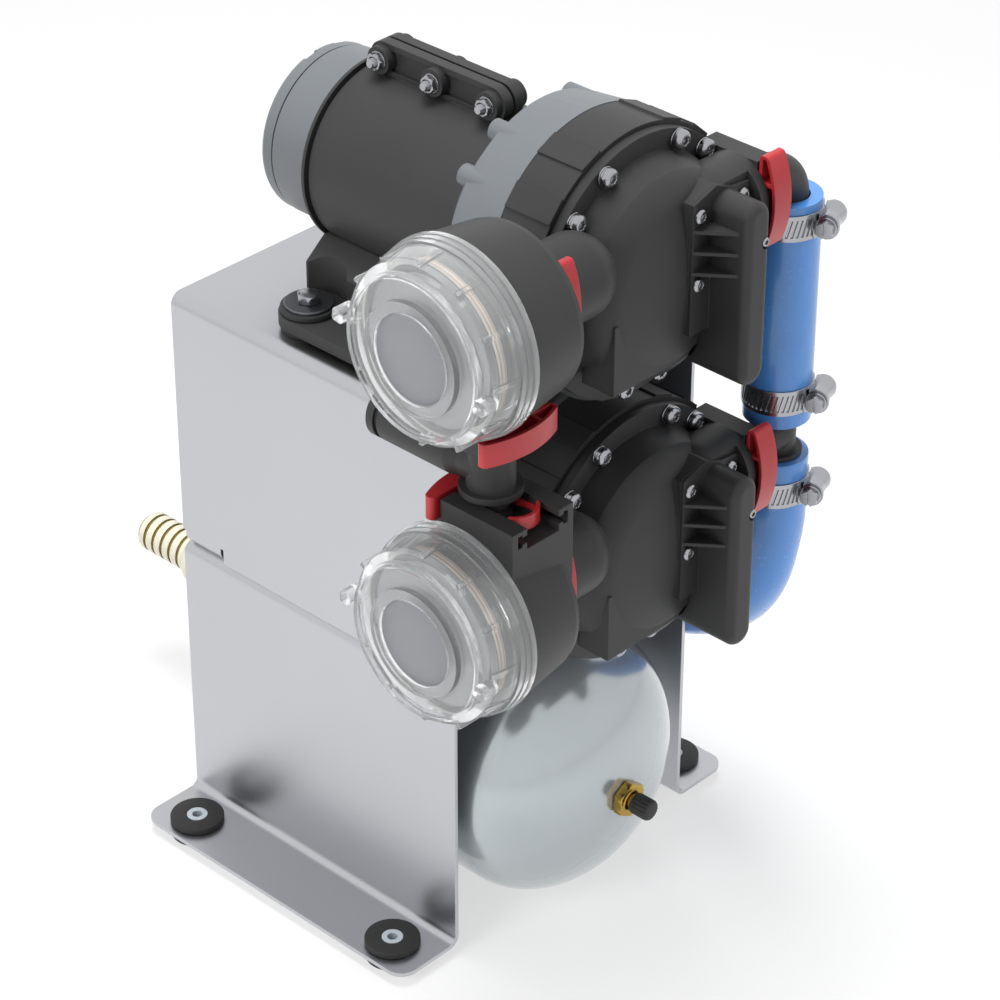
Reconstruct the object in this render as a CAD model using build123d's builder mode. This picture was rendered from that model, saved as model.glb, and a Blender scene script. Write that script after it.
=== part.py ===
from build123d import *

import os
from math import asin, cos, pi, radians, sin

# Water pressure pump set: two diaphragm pumps one above the other on bent
# sheet brackets, with an accumulator tank under them.
# Millimetres, +Z up, origin on the floor midway between the four feet.
# The pump heads face -Y, the strainers point to -X, the hoses are at +X.

# Bent sheet brackets
sheet = 2.0
bend_radius = 4.0
frame_width = 160.0
frame_depth = 180.0
flange_reach = 36.0
flange_corner = 9.0
foot_lift = 5.0
low_deck = 151.0
deck_spacing = 50.0
tab_reach = 28.0
tab_start = 64.0
tab_end = 88.0
relief_width = 2.0
relief_height = 8.0
tab_hole_inset = 16.0

# Fasteners
hole_gap = 0.15
m6_r = 3.0
m6_flats = 10.0
m6_head = 4.0
m6_nut = 5.0
m5_r = 2.5
m5_head_r = 4.6
m5_head = 3.5
m5_washer_r = 4.4
m5_washer = 1.5
m4_r = 2.0
m4_head_r = 3.7
m4_head = 2.6
nut_grip = 6.0

# Rubber feet with steel sleeves
foot_side = 20.0
foot_y = 68.0
foot_disc_r = 12.35
foot_neck_r = 8.5
foot_top = 3.4
sleeve_r = 5.1
sleeve_bore_r = 2.5
rubber_gap = 0.1

# Pump mounts
mount_x = 57.0
mount_front_y = -40.0
mount_rear_y = 22.0
grommet_r = 14.0
grommet_neck_r = 8.5
grommet_lip = 3.0
washer_r = 13.0
washer_thick = 1.5

# Motor jacket
axis_rise = 64.5
can_r = 40.5
can_wall = 2.5
jacket_gap = 0.3
jacket_wall = 3.0
jacket_rear = 37.0
lip_height = 1.7
lip_width = 1.7
lip_groove = 1.3
plate_width = 142.0
plate_thick = 6.0
plate_corner = 14.0
plate_inset = 1.0
pedestal_width = 90.0
pedestal_shoulder = 40.9
pedestal_neck = 64.8
pedestal_top = 30.7
pocket_r = 17.5
pocket_roof = 5.0
slit_width = 1.5
ear_width = 12.0
ear_height = 16.0
ear_length = 82.0
ear_rise = 6.7
ear_recess = 2.0
ear_border = 3.0
ear_boss_r = 6.5
ear_boss_reach = 3.5
ear_screw_pitch = 33.0

# Motor
motor_front = -56.0
can_rear = 61.0
can_plate = 3.0
cap_r = 40.2
cap_length = 8.0
cap_spigot = 4.0
cap_round = 2.0
cap_pocket = 6.0
notch_offset = 9.0
notch_width = 7.0
notch_depth = 5.0
shaft_r = 4.0
running_gap = 0.06
bearing_r = 8.0
bearing_width = 6.0
boss_wall = 3.0
boss_depth = 7.0
rotor_r = 24.0
rotor_length = 60.0
winding_r = 19.0
winding_length = 76.0
commutator_r = 11.5
commutator_length = 10.0
magnet_inner_r = 27.0
magnet_length = 66.0
magnet_slot = 26.0
shaft_tail = 3.0
crank_r = 8.0
crank_throw = 2.0
crank_length = 12.0

# Pump body stations along the shaft
bell_length = 38.0
bell_flare = 12.0
bell_neck_r = 46.5
bell_wall = 3.0
mid_length = 25.5
mid_wall = 9.0
strip_width = 12.0
strip_rise = 0.8
head_r = 61.5
head_flange = 5.0
dome_step = 3.5
dome_shoulder = 13.0
dome_crown_r = 36.0
dome_crown = 3.6
dome_depth = 25.5
head_wall = 4.5
screw_inset = 4.5
screw_angles = (48, 68, 115, 139, 201, 259, 281, 339)
screw_boss_r = 5.0
screw_tail = 14.0
screw_pocket_gap = 0.3
diaphragm_thick = 3.0
seat_gap = 0.3
piston_r = 12.0
piston_pitch = 20.0
piston_height = 4.0
wobble_r = 36.0
wobble_thick = 5.0
valve_plate_r = 44.0
valve_plate = 4.0
valve_port_r = 5.0

# Head ports and base wedge
port_inset = 10.5
pad_wall = 1.2
pad_depth = 12.0
port_rise = 24.5
socket_r = 19.0
socket_straight = 18.0
socket_round = 17.5
link_r = 11.0
link_bore_r = 5.5
link_end_x = -30.0
link_depth = 9.0
link_drop = 9.5
outlet_face = 43.0
inlet_face = 78.0
wedge_left = -40.0
wedge_right = 8.0
wedge_front = 4.0
wedge_low = -39.5
wedge_high = -6.0
wedge_depth = 18.0
drain_r = 4.0

# Quick connection: two slotted rails, a grooved spigot and a sliding clip
rail_gap = 9.6
rail_outer = 18.3
rail_nose = 11.5
rail_tail = 29.5
rail_length = 10.0
spigot_r = 9.0
spigot_bore_r = 6.5
spigot_depth = 12.0
bore_gap = 0.5
bore_spare = 8.0
neck_r = 7.2
slide_gap = 0.3
clip_thick = 3.0
slot_reach = 15.0
bead_width = 2.4
bead_thick = 5.4
tee_clip_back = 13.0
head_clip_back = 8.2
bow_thick = 1.6
bow_height = 5.0
bow_reach = 6.0
handle_gap = 1.0
handle_half = 22.0
handle_side = 4.5
handle_bulge = 5.0
handle_height = 11.0
handle_wall = 1.6
pocket_depth = 8.0
rib_side = -9.0
seal_r = 0.75

# Strainer with clear bayonet lid
neck_gap = 5.5
bowl_length = 32.5
bowl_back_r = 38.7
bowl_front_r = 43.0
bowl_wall = 2.5
lip_r = 37.4
lip_length = 17.0
branch_inset = 14.5
lid_rim_r = 43.9
lid_rim_length = 9.0
lid_step = 1.2
lid_front_r = 39.4
lid_length = 29.0
lid_wall = 1.6
lid_gap = 0.4
lid_ring_r = 36.0
lid_ring_wall = 2.0
lid_window_r = 20.0
lid_window_wall = 5.0
lid_ribs = 12
lid_rib_width = 2.0
lid_rib_height = 1.8
lug_angles = (8, 188)
lug_width = 6.0
lug_reach = 3.0
seal_width = 3.0
seal_height = 1.2
screen_r = 29.0
screen_wall = 1.2

# Inlet tee between the strainers
pipe_r = 10.5
collar_r = 13.8
collar_thick = 3.0
collar_gap = 2.0
branch_r = 12.0
branch_bore_r = 8.5
branch_end_y = -77.0
branch_groove = 2.5
branch_groove_depth = 1.5

# Outlet fittings and hoses
elbow_reach = 36.5
hose_side = 19.0
elbow_r = 9.4
elbow_bend = 15.0
barb_r = 9.7
barb_bore_r = 7.0
barb_length = 28.0
barb_pitch = 6.0
barb_rise = 0.8
hose_r = 15.6
hose_bore_r = 10.0
hose_top = 362.0
hose_bottom = 250.0
curved_top = 230.3
tee_flange_r = 12.4
tee_flange = 2.3
clamp_width = 12.5
clamp_thick = 0.8
clamp_inset = 10.0
clamp_gap = 0.05
worm_length = 15.0
worm_height = 9.0
worm_r = 3.2
worm_head_flats = 7.0
worm_head = 4.0
drop_end_z = 118.0
turn_y = -85.0
turn_z = 92.0
level_y = 60.0
level_z = 72.0
curved_radii = (60.0, 80.0, 200.0, 30.0)

# Accumulator tank
tank_x = -4.0
tank_z = 71.0
tank_r = 67.0
tank_wall = 1.5
tank_front = -80.0
tank_rear = 63.0
dome_height = 47.0
saddle_y = (-66.0, 50.0)
saddle_width = 20.0
saddle_half = 34.0
saddle_hole_x = 26.0
saddle_plate = 3.0
bladder_r = 58.0
bladder_wall = 2.0
bladder_front = 70.0
valve_flats = 16.0
valve_hex = 6.0
valve_stem_r = 3.9
valve_stem = 9.5
cap_wall = 1.2
cap_gap = 0.3
cap_lift = 1.0
cap_ribs = 10
tank_neck_r = 14.0
tank_neck = 6.0
rear_tee_y = 150.0
rear_tee_r = 14.0
rear_barb_r = 10.5
rear_barb_end = 205.0
side_hose_x = 50.0

# Switch cover on the head
cover_plate = 1.6
cover_bite = 2.0
cover_outline = ((1.5, -25), (1.5, 37.5), (16, 42.2), (26.2, 38), (38, 36.5), (38, -25))
cover_left = 13.5
cover_right = 28.8
cover_low = -49.5
cover_high = 38.3
cover_depth = 21.8
cover_round = 7.6
nose_round = 4.0
cover_reach_back = 14.0
cover_gap = 0.2
cover_screws = ((5.3, 31.7), (5.3, -0.8), (32.9, 31.8), (33.6, -6.0))
gusset_heights = (24.4, 14.4, 4.4)
gusset_start = 1.8
gusset_thick = 1.6
adjuster_r = 2.6
adjuster_rise = 18.7
adjuster_right = 25.8
adjuster_seat = 2.4
adjuster_gap = 0.4
adjuster_head = 2.6
adjuster_shank_r = 1.2
adjuster_length = 6.0

# Places worked out from the sizes above
wall_mid = frame_width / 2 - sheet / 2
flange_mid = foot_lift + sheet / 2
flange_edge = frame_width / 2 + flange_reach
foot_x = frame_width / 2 + foot_side
tab_hole_x = frame_width / 2 - tab_hole_inset
rear_run_x = frame_width / 2 + hose_side
high_deck = low_deck + 2 * bowl_front_r + deck_spacing
deck_under = low_deck - sheet
tab_hole_y = (tab_start + tab_end) / 2
jacket_r = can_r + jacket_gap + jacket_wall
jacket_front = motor_front + plate_inset
plate_front = jacket_front + plate_inset
plate_rear = jacket_rear - plate_inset
plate_mid_y = (plate_front + plate_rear) / 2
screw_circle_r = head_r - screw_inset
dome_r = screw_circle_r - screw_boss_r
dome_shoulder_r = dome_r - dome_step
mid_r = head_r + 2.0
bell_r = mid_r + 0.2
bell_shoulder_r = head_r - 0.5
body_joint = motor_front - bell_length
head_joint = body_joint - mid_length
dome_base = head_joint - head_flange
head_front = dome_base - dome_depth
port_y = head_front + port_inset
pad_y = port_y - spigot_r - bore_gap - pad_wall
rail_face = rail_length / 2
outlet_clip_x = outlet_face + rail_face
hose_x = outlet_face + elbow_reach
inlet_clip_x = -inlet_face - rail_face
bowl_back = -inlet_face - rail_length - neck_gap
bowl_front = bowl_back - bowl_length
lid_front = bowl_front - lid_length
tee_x = bowl_back - branch_inset
pump_decks = {"lower": low_deck, "upper": high_deck}
mount_spots = [
    (side * mount_x, y) for side in (-1, 1) for y in (mount_front_y, mount_rear_y)
]
foot_spots = [(a * foot_x, b * foot_y) for a in (-1, 1) for b in (-1, 1)]
tab_spots = [(a * tab_hole_x, b * tab_hole_y) for a in (-1, 1) for b in (-1, 1)]
saddle_spots = [(tank_x + a * saddle_hole_x, y) for a in (-1, 1) for y in saddle_y]
low_port_z = low_deck + axis_rise + port_rise
high_port_z = high_deck + axis_rise + port_rise
top_port_z = low_port_z + bowl_front_r + rail_face
bottom_port_z = high_port_z - bowl_front_r - rail_face
curved_route = (
    (hose_x, port_y, curved_top),
    (hose_x, port_y, drop_end_z),
    (rear_run_x, turn_y, turn_z),
    (rear_run_x, level_y, level_z),
    (rear_run_x, rear_tee_y, tank_z),
    (side_hose_x, rear_tee_y, tank_z),
)


def front_plane(x, y, z):
    # Square to the shaft: right is +X, up is +Z, extrusion goes to -Y.
    return Plane(origin=(x, y, z), x_dir=(1, 0, 0), z_dir=(0, -1, 0))


def side_plane(x, y, z):
    # Square to X: right is +Y, up is +Z, extrusion goes to +X.
    return Plane(origin=(x, y, z), x_dir=(0, 1, 0), z_dir=(1, 0, 0))


def level_plane(x, y, z):
    return Plane(origin=(x, y, z), x_dir=(1, 0, 0), z_dir=(0, 0, 1))


def save(piece, label):
    piece.part.label = label
    export_step(piece.part, f"parts/{label}.step")


def turned(points, origin, direction, mode=Mode.ADD):
    # A turned shape from (distance along the axis, radius) pairs.
    side = (1, 0, 0) if abs(Vector(direction).Y) > 0.5 else (0, -1, 0)
    with BuildSketch(Plane(origin=origin, x_dir=direction, z_dir=side)) as half:
        with BuildLine():
            Polyline(*points, close=True)
        make_face()
    revolve(half.sketch, axis=Axis(origin, direction), mode=mode)


def tube_points(start, end, outer, inner):
    return [(start, inner), (start, outer), (end, outer), (end, inner)]


def disc_points(start, end, outer):
    return [(start, 0), (start, outer), (end, outer), (end, 0)]


def drill(plane, spots, radius, depth):
    with BuildSketch(plane) as holes:
        with Locations(*spots):
            Circle(radius)
    extrude(holes.sketch, amount=-depth, mode=Mode.SUBTRACT)


def hex_bolt(seat, shank_r, flats, head, length):
    # A hexagon head on its seat plane, the shank running back through it.
    with BuildSketch(seat) as top:
        RegularPolygon(flats / 2, 6, major_radius=False)
    extrude(top.sketch, amount=head)
    with BuildSketch(seat) as shank:
        Circle(shank_r)
    extrude(shank.sketch, amount=-length)


def hex_nut(seat, shank_r, flats, height):
    with BuildSketch(seat) as nut:
        RegularPolygon(flats / 2, 6, major_radius=False)
        Circle(shank_r + hole_gap, mode=Mode.SUBTRACT)
    extrude(nut.sketch, amount=height)


def pan_screw(seat, shank_r, head_r, head, washer_r, washer, length):
    # Shank, washer and domed head about the seat plane's normal.
    crown = head_r * 0.45
    points = [(-length, 0), (-length, shank_r), (0, shank_r)]
    if washer:
        points += [(0, washer_r), (washer, washer_r)]
    points += [
        (washer, head_r),
        (washer + head * 0.4, head_r),
        (washer + head * 0.85, head_r * 0.75),
        (washer + head, crown),
        (washer + head, 0),
    ]
    turned(points, tuple(seat.origin), tuple(seat.z_dir))


def bent_strip(points, rear_y, length):
    with BuildSketch(front_plane(0, rear_y, 0)) as section:
        with BuildLine():
            FilletPolyline(*points, radius=bend_radius + sheet / 2)
        trace(line_width=sheet)
    extrude(section.sketch, amount=length)


def lower_bracket():
    with BuildPart() as bracket:
        bent_strip(
            [
                (-flange_edge, flange_mid),
                (-wall_mid, flange_mid),
                (-wall_mid, low_deck - sheet / 2),
                (wall_mid, low_deck - sheet / 2),
                (wall_mid, flange_mid),
                (flange_edge, flange_mid),
            ],
            frame_depth / 2,
            frame_depth,
        )
        with BuildSketch(Plane.XY) as footprint:
            RectangleRounded(2 * flange_edge, frame_depth, flange_corner)
        extrude(footprint.sketch, amount=low_deck, mode=Mode.INTERSECT)
        drill(Plane.XY.offset(foot_lift + sheet), foot_spots, foot_neck_r + rubber_gap, sheet)
        bolts = mount_spots + tab_spots + saddle_spots
        drill(Plane.XY.offset(low_deck), bolts, m6_r + hole_gap, sheet)
    save(bracket, "lower_bracket")


def upper_bracket():
    tab_top = low_deck + relief_height
    tab_mid = low_deck + sheet / 2
    tab_length = tab_end - tab_start
    with BuildPart() as bracket:
        bent_strip(
            [
                (-wall_mid, tab_top),
                (-wall_mid, high_deck - sheet / 2),
                (wall_mid, high_deck - sheet / 2),
                (wall_mid, tab_top),
            ],
            frame_depth / 2,
            frame_depth,
        )
        for side in (-1, 1):
            for rear in (-tab_start, tab_end):
                bent_strip(
                    [
                        (side * wall_mid, tab_top),
                        (side * wall_mid, tab_mid),
                        (side * (frame_width / 2 - tab_reach), tab_mid),
                    ],
                    rear,
                    tab_length,
                )
            with BuildSketch(side_plane(side * wall_mid - sheet / 2, 0, low_deck)) as wall:
                with Locations((0, relief_height / 2)):
                    Rectangle(2 * (tab_start - relief_width), relief_height)
            extrude(wall.sketch, amount=sheet)
        drill(Plane.XY.offset(low_deck + sheet), tab_spots, m6_r + hole_gap, sheet)
        drill(Plane.XY.offset(high_deck), mount_spots, m6_r + hole_gap, sheet)
    save(bracket, "upper_bracket")


def feet():
    waist = foot_lift + sheet
    profile = [
        (0, sleeve_r + rubber_gap),
        (0, foot_disc_r - 1),
        (1, foot_disc_r),
        (foot_lift, foot_disc_r),
        (foot_lift, foot_neck_r),
        (waist, foot_neck_r),
        (waist, foot_disc_r),
        (waist + foot_top - 1, foot_disc_r - 0.5),
        (waist + foot_top, foot_disc_r - 2),
        (waist + foot_top, sleeve_r + rubber_gap),
    ]
    with BuildPart() as grommets:
        for x, y in foot_spots:
            turned(profile, (x, y, 0), (0, 0, 1))
    save(grommets, "foot_grommets")
    with BuildPart() as sleeves:
        for x, y in foot_spots:
            turned(
                tube_points(0, waist + foot_top, sleeve_r, sleeve_bore_r),
                (x, y, 0),
                (0, 0, 1),
            )
    save(sleeves, "foot_sleeves")


def bracket_fasteners():
    # Bolts through the inward tabs and through the tank saddles.
    with BuildPart() as fasteners:
        for spots, seat_z, under in (
            (tab_spots, low_deck + sheet, deck_under),
            (saddle_spots, low_deck, deck_under - saddle_plate),
        ):
            for x, y in spots:
                length = seat_z - under + nut_grip
                hex_bolt(level_plane(x, y, seat_z), m6_r, m6_flats, m6_head, length)
                below = Plane(origin=(x, y, under), x_dir=(1, 0, 0), z_dir=(0, 0, -1))
                hex_nut(below, m6_r, m6_flats, m6_nut)
    save(fasteners, "bracket_fasteners")


def mounts():
    plate_low = grommet_lip
    plate_high = grommet_lip + plate_thick
    top = plate_high + grommet_lip
    bore = m6_r + hole_gap
    profile = [
        (0, bore),
        (0, grommet_r - 1),
        (1, grommet_r),
        (plate_low, grommet_r),
        (plate_low, grommet_neck_r),
        (plate_high, grommet_neck_r),
        (plate_high, grommet_r),
        (top - 1, grommet_r),
        (top, grommet_r - 1),
        (top, bore),
    ]
    with BuildPart() as grommets:
        for deck in pump_decks.values():
            for x, y in mount_spots:
                turned(profile, (x, y, deck), (0, 0, 1))
    save(grommets, "mount_grommets")
    with BuildPart() as washers:
        for deck in pump_decks.values():
            for x, y in mount_spots:
                ring = tube_points(top, top + washer_thick, washer_r, bore)
                turned(ring, (x, y, deck), (0, 0, 1))
    save(washers, "mount_washers")
    with BuildPart() as bolts:
        for deck in pump_decks.values():
            for x, y in mount_spots:
                seat = deck + top + washer_thick
                length = top + washer_thick + sheet + nut_grip
                hex_bolt(level_plane(x, y, seat), m6_r, m6_flats, m6_head, length)
                below = Plane(origin=(x, y, deck - sheet), x_dir=(1, 0, 0), z_dir=(0, 0, -1))
                hex_nut(below, m6_r, m6_flats, m6_nut)
    save(bolts, "mount_bolts")


def ear_screw_ys():
    middle = plate_mid_y - plate_inset / 2
    return [middle + step * ear_screw_pitch for step in (-1, 0, 1)]


def motor_jacket(name, deck):
    axis_z = deck + axis_rise
    plate_z = deck + grommet_lip
    plate_top = plate_z + plate_thick
    ear_z = axis_z + jacket_r + ear_rise
    bore_r = can_r + jacket_gap
    ear_reach = ear_width / 2
    with BuildPart() as jacket:
        with BuildSketch(level_plane(0, plate_mid_y, plate_z)):
            RectangleRounded(plate_width, plate_rear - plate_front, plate_corner)
        extrude(amount=plate_thick)
        with BuildSketch(front_plane(0, plate_rear, 0)):
            with BuildLine():
                Polyline(
                    (-pedestal_width / 2, plate_z),
                    (-pedestal_width / 2, axis_z - pedestal_shoulder),
                    (-pedestal_neck / 2, axis_z - pedestal_top),
                    (pedestal_neck / 2, axis_z - pedestal_top),
                    (pedestal_width / 2, axis_z - pedestal_shoulder),
                    (pedestal_width / 2, plate_z),
                    close=True,
                )
            make_face()
        extrude(amount=plate_rear - plate_front)
        with BuildSketch(level_plane(0, 0, plate_top)):
            with Locations(*mount_spots):
                Circle(pocket_r)
        extrude(
            amount=axis_rise - pedestal_shoulder - grommet_lip - plate_thick + pocket_roof,
            mode=Mode.SUBTRACT,
        )
        drill(
            level_plane(0, 0, plate_top),
            mount_spots,
            grommet_neck_r + rubber_gap,
            plate_thick,
        )
        lip_start = jacket_rear - lip_width
        sleeve = [
            (jacket_front, 0),
            (jacket_front, jacket_r),
            (lip_start - lip_groove, jacket_r),
            (lip_start - lip_groove, jacket_r - lip_groove),
            (lip_start, jacket_r - lip_groove),
            (lip_start, jacket_r + lip_height),
            (jacket_rear, jacket_r + lip_height),
            (jacket_rear, 0),
        ]
        turned(sleeve, (0, 0, axis_z), (0, 1, 0))
        with BuildSketch(side_plane(-ear_reach, ear_screw_ys()[1], ear_z)):
            SlotOverall(ear_length, ear_height)
        extrude(amount=ear_width)
        for side in (-1, 1):
            face = side * ear_reach - (ear_recess if side > 0 else 0)
            with BuildSketch(side_plane(face, ear_screw_ys()[1], ear_z)):
                SlotOverall(ear_length - 2 * ear_border, ear_height - 2 * ear_border)
            extrude(amount=ear_recess, mode=Mode.SUBTRACT)
        with BuildSketch(side_plane(-ear_reach - ear_boss_reach, 0, ear_z)):
            with Locations(*[(y, 0) for y in ear_screw_ys()]):
                Circle(ear_boss_r)
        extrude(amount=ear_width + 2 * ear_boss_reach)
        turned(disc_points(jacket_front, jacket_rear, bore_r), (0, 0, axis_z), (0, 1, 0),
               mode=Mode.SUBTRACT)
        with BuildSketch(front_plane(0, jacket_rear, axis_z)):
            with Locations((0, (bore_r - 2 + jacket_r + ear_rise + ear_height) / 2)):
                Rectangle(slit_width, jacket_r + ear_rise + ear_height - bore_r + 2)
        extrude(amount=jacket_rear - jacket_front, mode=Mode.SUBTRACT)
        drill(
            side_plane(ear_reach + ear_boss_reach, 0, ear_z),
            [(y, 0) for y in ear_screw_ys()],
            m5_r + hole_gap,
            ear_width + 2 * ear_boss_reach,
        )
    save(jacket, f"{name}_motor_jacket")


def jacket_fasteners():
    with BuildPart() as fasteners:
        for deck in pump_decks.values():
            ear_z = deck + axis_rise + jacket_r + ear_rise
            reach = ear_width / 2 + ear_boss_reach
            for y in ear_screw_ys():
                left = Plane(origin=(-reach, y, ear_z), x_dir=(0, 1, 0), z_dir=(-1, 0, 0))
                length = 2 * reach + nut_grip
                pan_screw(left, m5_r, m5_head_r, m5_head, 0, 0, length)
                hex_nut(side_plane(reach, y, ear_z), m5_r, 8.0, 4.0)
    save(fasteners, "jacket_fasteners")


def motor_can(name, deck):
    axis = (0, 0, deck + axis_rise)
    inner_r = can_r - can_wall
    plate_end = motor_front + can_plate
    boss_r = bearing_r + boss_wall
    pocket = plate_end + boss_depth - bearing_width
    with BuildPart() as can:
        profile = [
            (motor_front, shaft_r + 2),
            (motor_front, can_r),
            (can_rear, can_r),
            (can_rear, inner_r),
            (plate_end, inner_r),
            (plate_end, boss_r),
            (plate_end + boss_depth, boss_r),
            (plate_end + boss_depth, bearing_r + running_gap),
            (pocket, bearing_r + running_gap),
            (pocket, shaft_r + 2),
        ]
        turned(profile, axis, (0, 1, 0))
    save(can, f"{name}_motor_can")


def end_cap(name, deck):
    axis_z = deck + axis_rise
    inner_r = can_r - can_wall
    rear = can_rear + cap_length
    floor = rear - can_plate
    pocket = floor - cap_pocket
    mouth = pocket - bearing_width
    with BuildPart() as cap:
        profile = [
            (rear, 0),
            (rear, cap_r - cap_round),
            (rear - cap_round * 0.3, cap_r - cap_round * 0.3),
            (rear - cap_round, cap_r),
            (can_rear + 1, cap_r),
            (can_rear + 1, cap_r - 1),
            (can_rear, cap_r - 1),
            (can_rear, inner_r - jacket_gap),
            (can_rear - cap_spigot, inner_r - jacket_gap),
            (can_rear - cap_spigot, inner_r - jacket_gap - can_wall),
            (floor, inner_r - jacket_gap - can_wall),
            (floor, bearing_r + boss_wall),
            (mouth, bearing_r + boss_wall),
            (mouth, bearing_r + running_gap),
            (pocket, bearing_r + running_gap),
            (pocket, shaft_r + 1),
            (pocket + 4, shaft_r + 1),
            (pocket + 4, 0),
        ]
        turned(profile, (0, 0, axis_z), (0, 1, 0))
        with BuildSketch(level_plane(0, rear, axis_z)):
            with Locations((-notch_offset, 0), (notch_offset, 0)):
                Rectangle(notch_width, notch_depth)
        extrude(amount=cap_r, mode=Mode.SUBTRACT)
        with BuildSketch(front_plane(0, rear, axis_z)):
            Circle(cap_r - 3)
        extrude(amount=can_plate)
    save(cap, f"{name}_end_cap")


def motor_bearings():
    front = motor_front + can_plate + boss_depth - bearing_width
    rear = can_rear + cap_length - can_plate - cap_pocket - bearing_width
    with BuildPart() as bearings:
        for deck in pump_decks.values():
            for start in (front, rear):
                ring = tube_points(start, start + bearing_width, bearing_r, shaft_r + running_gap)
                turned(ring, (0, 0, deck + axis_rise), (0, 1, 0))
    save(bearings, "motor_bearings")


def motor_magnets():
    outer = can_r - can_wall - jacket_gap
    with BuildPart() as magnets:
        for deck in pump_decks.values():
            with BuildSketch(front_plane(0, magnet_length / 2, deck + axis_rise)) as arcs:
                Circle(outer)
                Circle(magnet_inner_r, mode=Mode.SUBTRACT)
                Rectangle(magnet_slot, 2 * outer, mode=Mode.SUBTRACT)
            extrude(arcs.sketch, amount=magnet_length)
    save(magnets, "motor_magnets")


def armature(name, deck):
    axis = (0, 0, deck + axis_rise)
    half = rotor_length / 2
    winding = winding_length / 2
    rear = can_rear + cap_length - can_plate - shaft_tail
    crank_end = body_joint - 3
    with BuildPart() as rotor:
        profile = [
            (crank_end, 0),
            (crank_end, shaft_r),
            (-winding, shaft_r),
            (-winding, winding_r),
            (-half, winding_r),
            (-half, rotor_r),
            (half, rotor_r),
            (half, winding_r),
            (winding, winding_r),
            (winding, commutator_r),
            (winding + commutator_length, commutator_r),
            (winding + commutator_length, shaft_r),
            (rear, shaft_r),
            (rear, 0),
        ]
        turned(profile, axis, (0, 1, 0))
        with BuildSketch(front_plane(0, crank_end + crank_length, axis[2])):
            with Locations((0, crank_throw)):
                Circle(crank_r)
        extrude(amount=crank_length)
    save(rotor, f"{name}_armature")


def screw_spots(radius):
    return [
        Location((radius * cos(radians(angle)), radius * sin(radians(angle)), 0), (0, 0, angle))
        for angle in screw_angles
    ]


def rear_housing(name, deck):
    axis_z = deck + axis_rise
    flare = motor_front - bell_flare
    with BuildPart() as bell:
        outer = [
            (motor_front, 0),
            (motor_front, bell_neck_r),
            (flare, bell_shoulder_r),
            (body_joint, bell_r),
            (body_joint, 0),
        ]
        turned(outer, (0, 0, axis_z), (0, 1, 0))
        boss_start = flare + bell_flare / 2
        with BuildSketch(front_plane(0, boss_start, axis_z)):
            with Locations(*screw_spots(screw_circle_r)):
                Circle(screw_boss_r)
        extrude(amount=boss_start - body_joint)
        inner = [
            (motor_front - bell_wall, 0),
            (motor_front - bell_wall, bell_neck_r - 2 * bell_wall),
            (flare - 2, screw_circle_r - screw_boss_r),
            (body_joint, screw_circle_r - screw_boss_r),
            (body_joint, 0),
        ]
        turned(inner, (0, 0, axis_z), (0, 1, 0), mode=Mode.SUBTRACT)
        with BuildSketch(front_plane(0, motor_front, axis_z)):
            Circle(bearing_r + boss_wall)
        extrude(amount=bell_wall, mode=Mode.SUBTRACT)
        drill(
            Plane(origin=(0, body_joint, axis_z), x_dir=(1, 0, 0), z_dir=(0, -1, 0)),
            [tuple(spot.position)[:2] for spot in screw_spots(screw_circle_r)],
            m5_r + hole_gap,
            body_joint * -1 + boss_start - screw_tail / 4,
        )
    save(bell, f"{name}_rear_housing")


def mid_body(name, deck):
    axis_z = deck + axis_rise
    with BuildPart() as body:
        with BuildSketch(front_plane(0, body_joint, axis_z)):
            Circle(mid_r)
            with Locations(*screw_spots(mid_r)):
                Rectangle(2 * strip_rise, strip_width)
            Circle(mid_r - mid_wall - screw_boss_r / 2, mode=Mode.SUBTRACT)
            with Locations(*screw_spots(screw_circle_r)):
                Circle(m5_r + hole_gap, mode=Mode.SUBTRACT)
        extrude(amount=mid_length)
    save(body, f"{name}_mid_body")


def dome(axis_z, grow=0.0, mode=Mode.ADD):
    # Flange, tangent shoulder and spherical crown, turned about the shaft.
    flat_r = (dome_crown_r**2 + dome_crown**2) / (2 * dome_crown)
    ball_y = head_front + flat_r
    ball_r = flat_r + grow
    turn = asin(dome_crown_r / flat_r)
    tip = (ball_y - ball_r, 0)
    middle = (ball_y - ball_r * cos(turn / 2), ball_r * sin(turn / 2))
    rim = (ball_y - ball_r * cos(turn), ball_r * sin(turn))
    with BuildSketch(side_plane(0, 0, axis_z)) as half:
        with BuildLine():
            crown = ThreePointArc(tip, middle, rim)
            shoulder = TangentArc(
                rim,
                (dome_base - dome_shoulder, dome_shoulder_r + grow),
                tangent=crown % 1,
            )
            Polyline(
                shoulder @ 1,
                (dome_base - grow, dome_r + grow),
                (dome_base - grow, head_r + grow),
                (head_joint, head_r + grow),
                (head_joint, 0),
                tip,
            )
        make_face()
    revolve(half.sketch, axis=Axis((0, 0, axis_z), (0, 1, 0)), mode=mode)


def outlet_plane(port_z):
    return Plane(origin=(outlet_clip_x, port_y, port_z), x_dir=(0, -1, 0), z_dir=(1, 0, 0))


def inlet_plane(port_z):
    return Plane(origin=(inlet_clip_x, port_y, port_z), x_dir=(0, -1, 0), z_dir=(-1, 0, 0))


def upper_tee_plane():
    return Plane(origin=(tee_x, port_y, bottom_port_z), x_dir=(0, -1, 0), z_dir=(0, 0, -1))


def lower_tee_plane():
    return Plane(origin=(tee_x, port_y, top_port_z), x_dir=(0, 1, 0), z_dir=(0, 0, 1))


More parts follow.
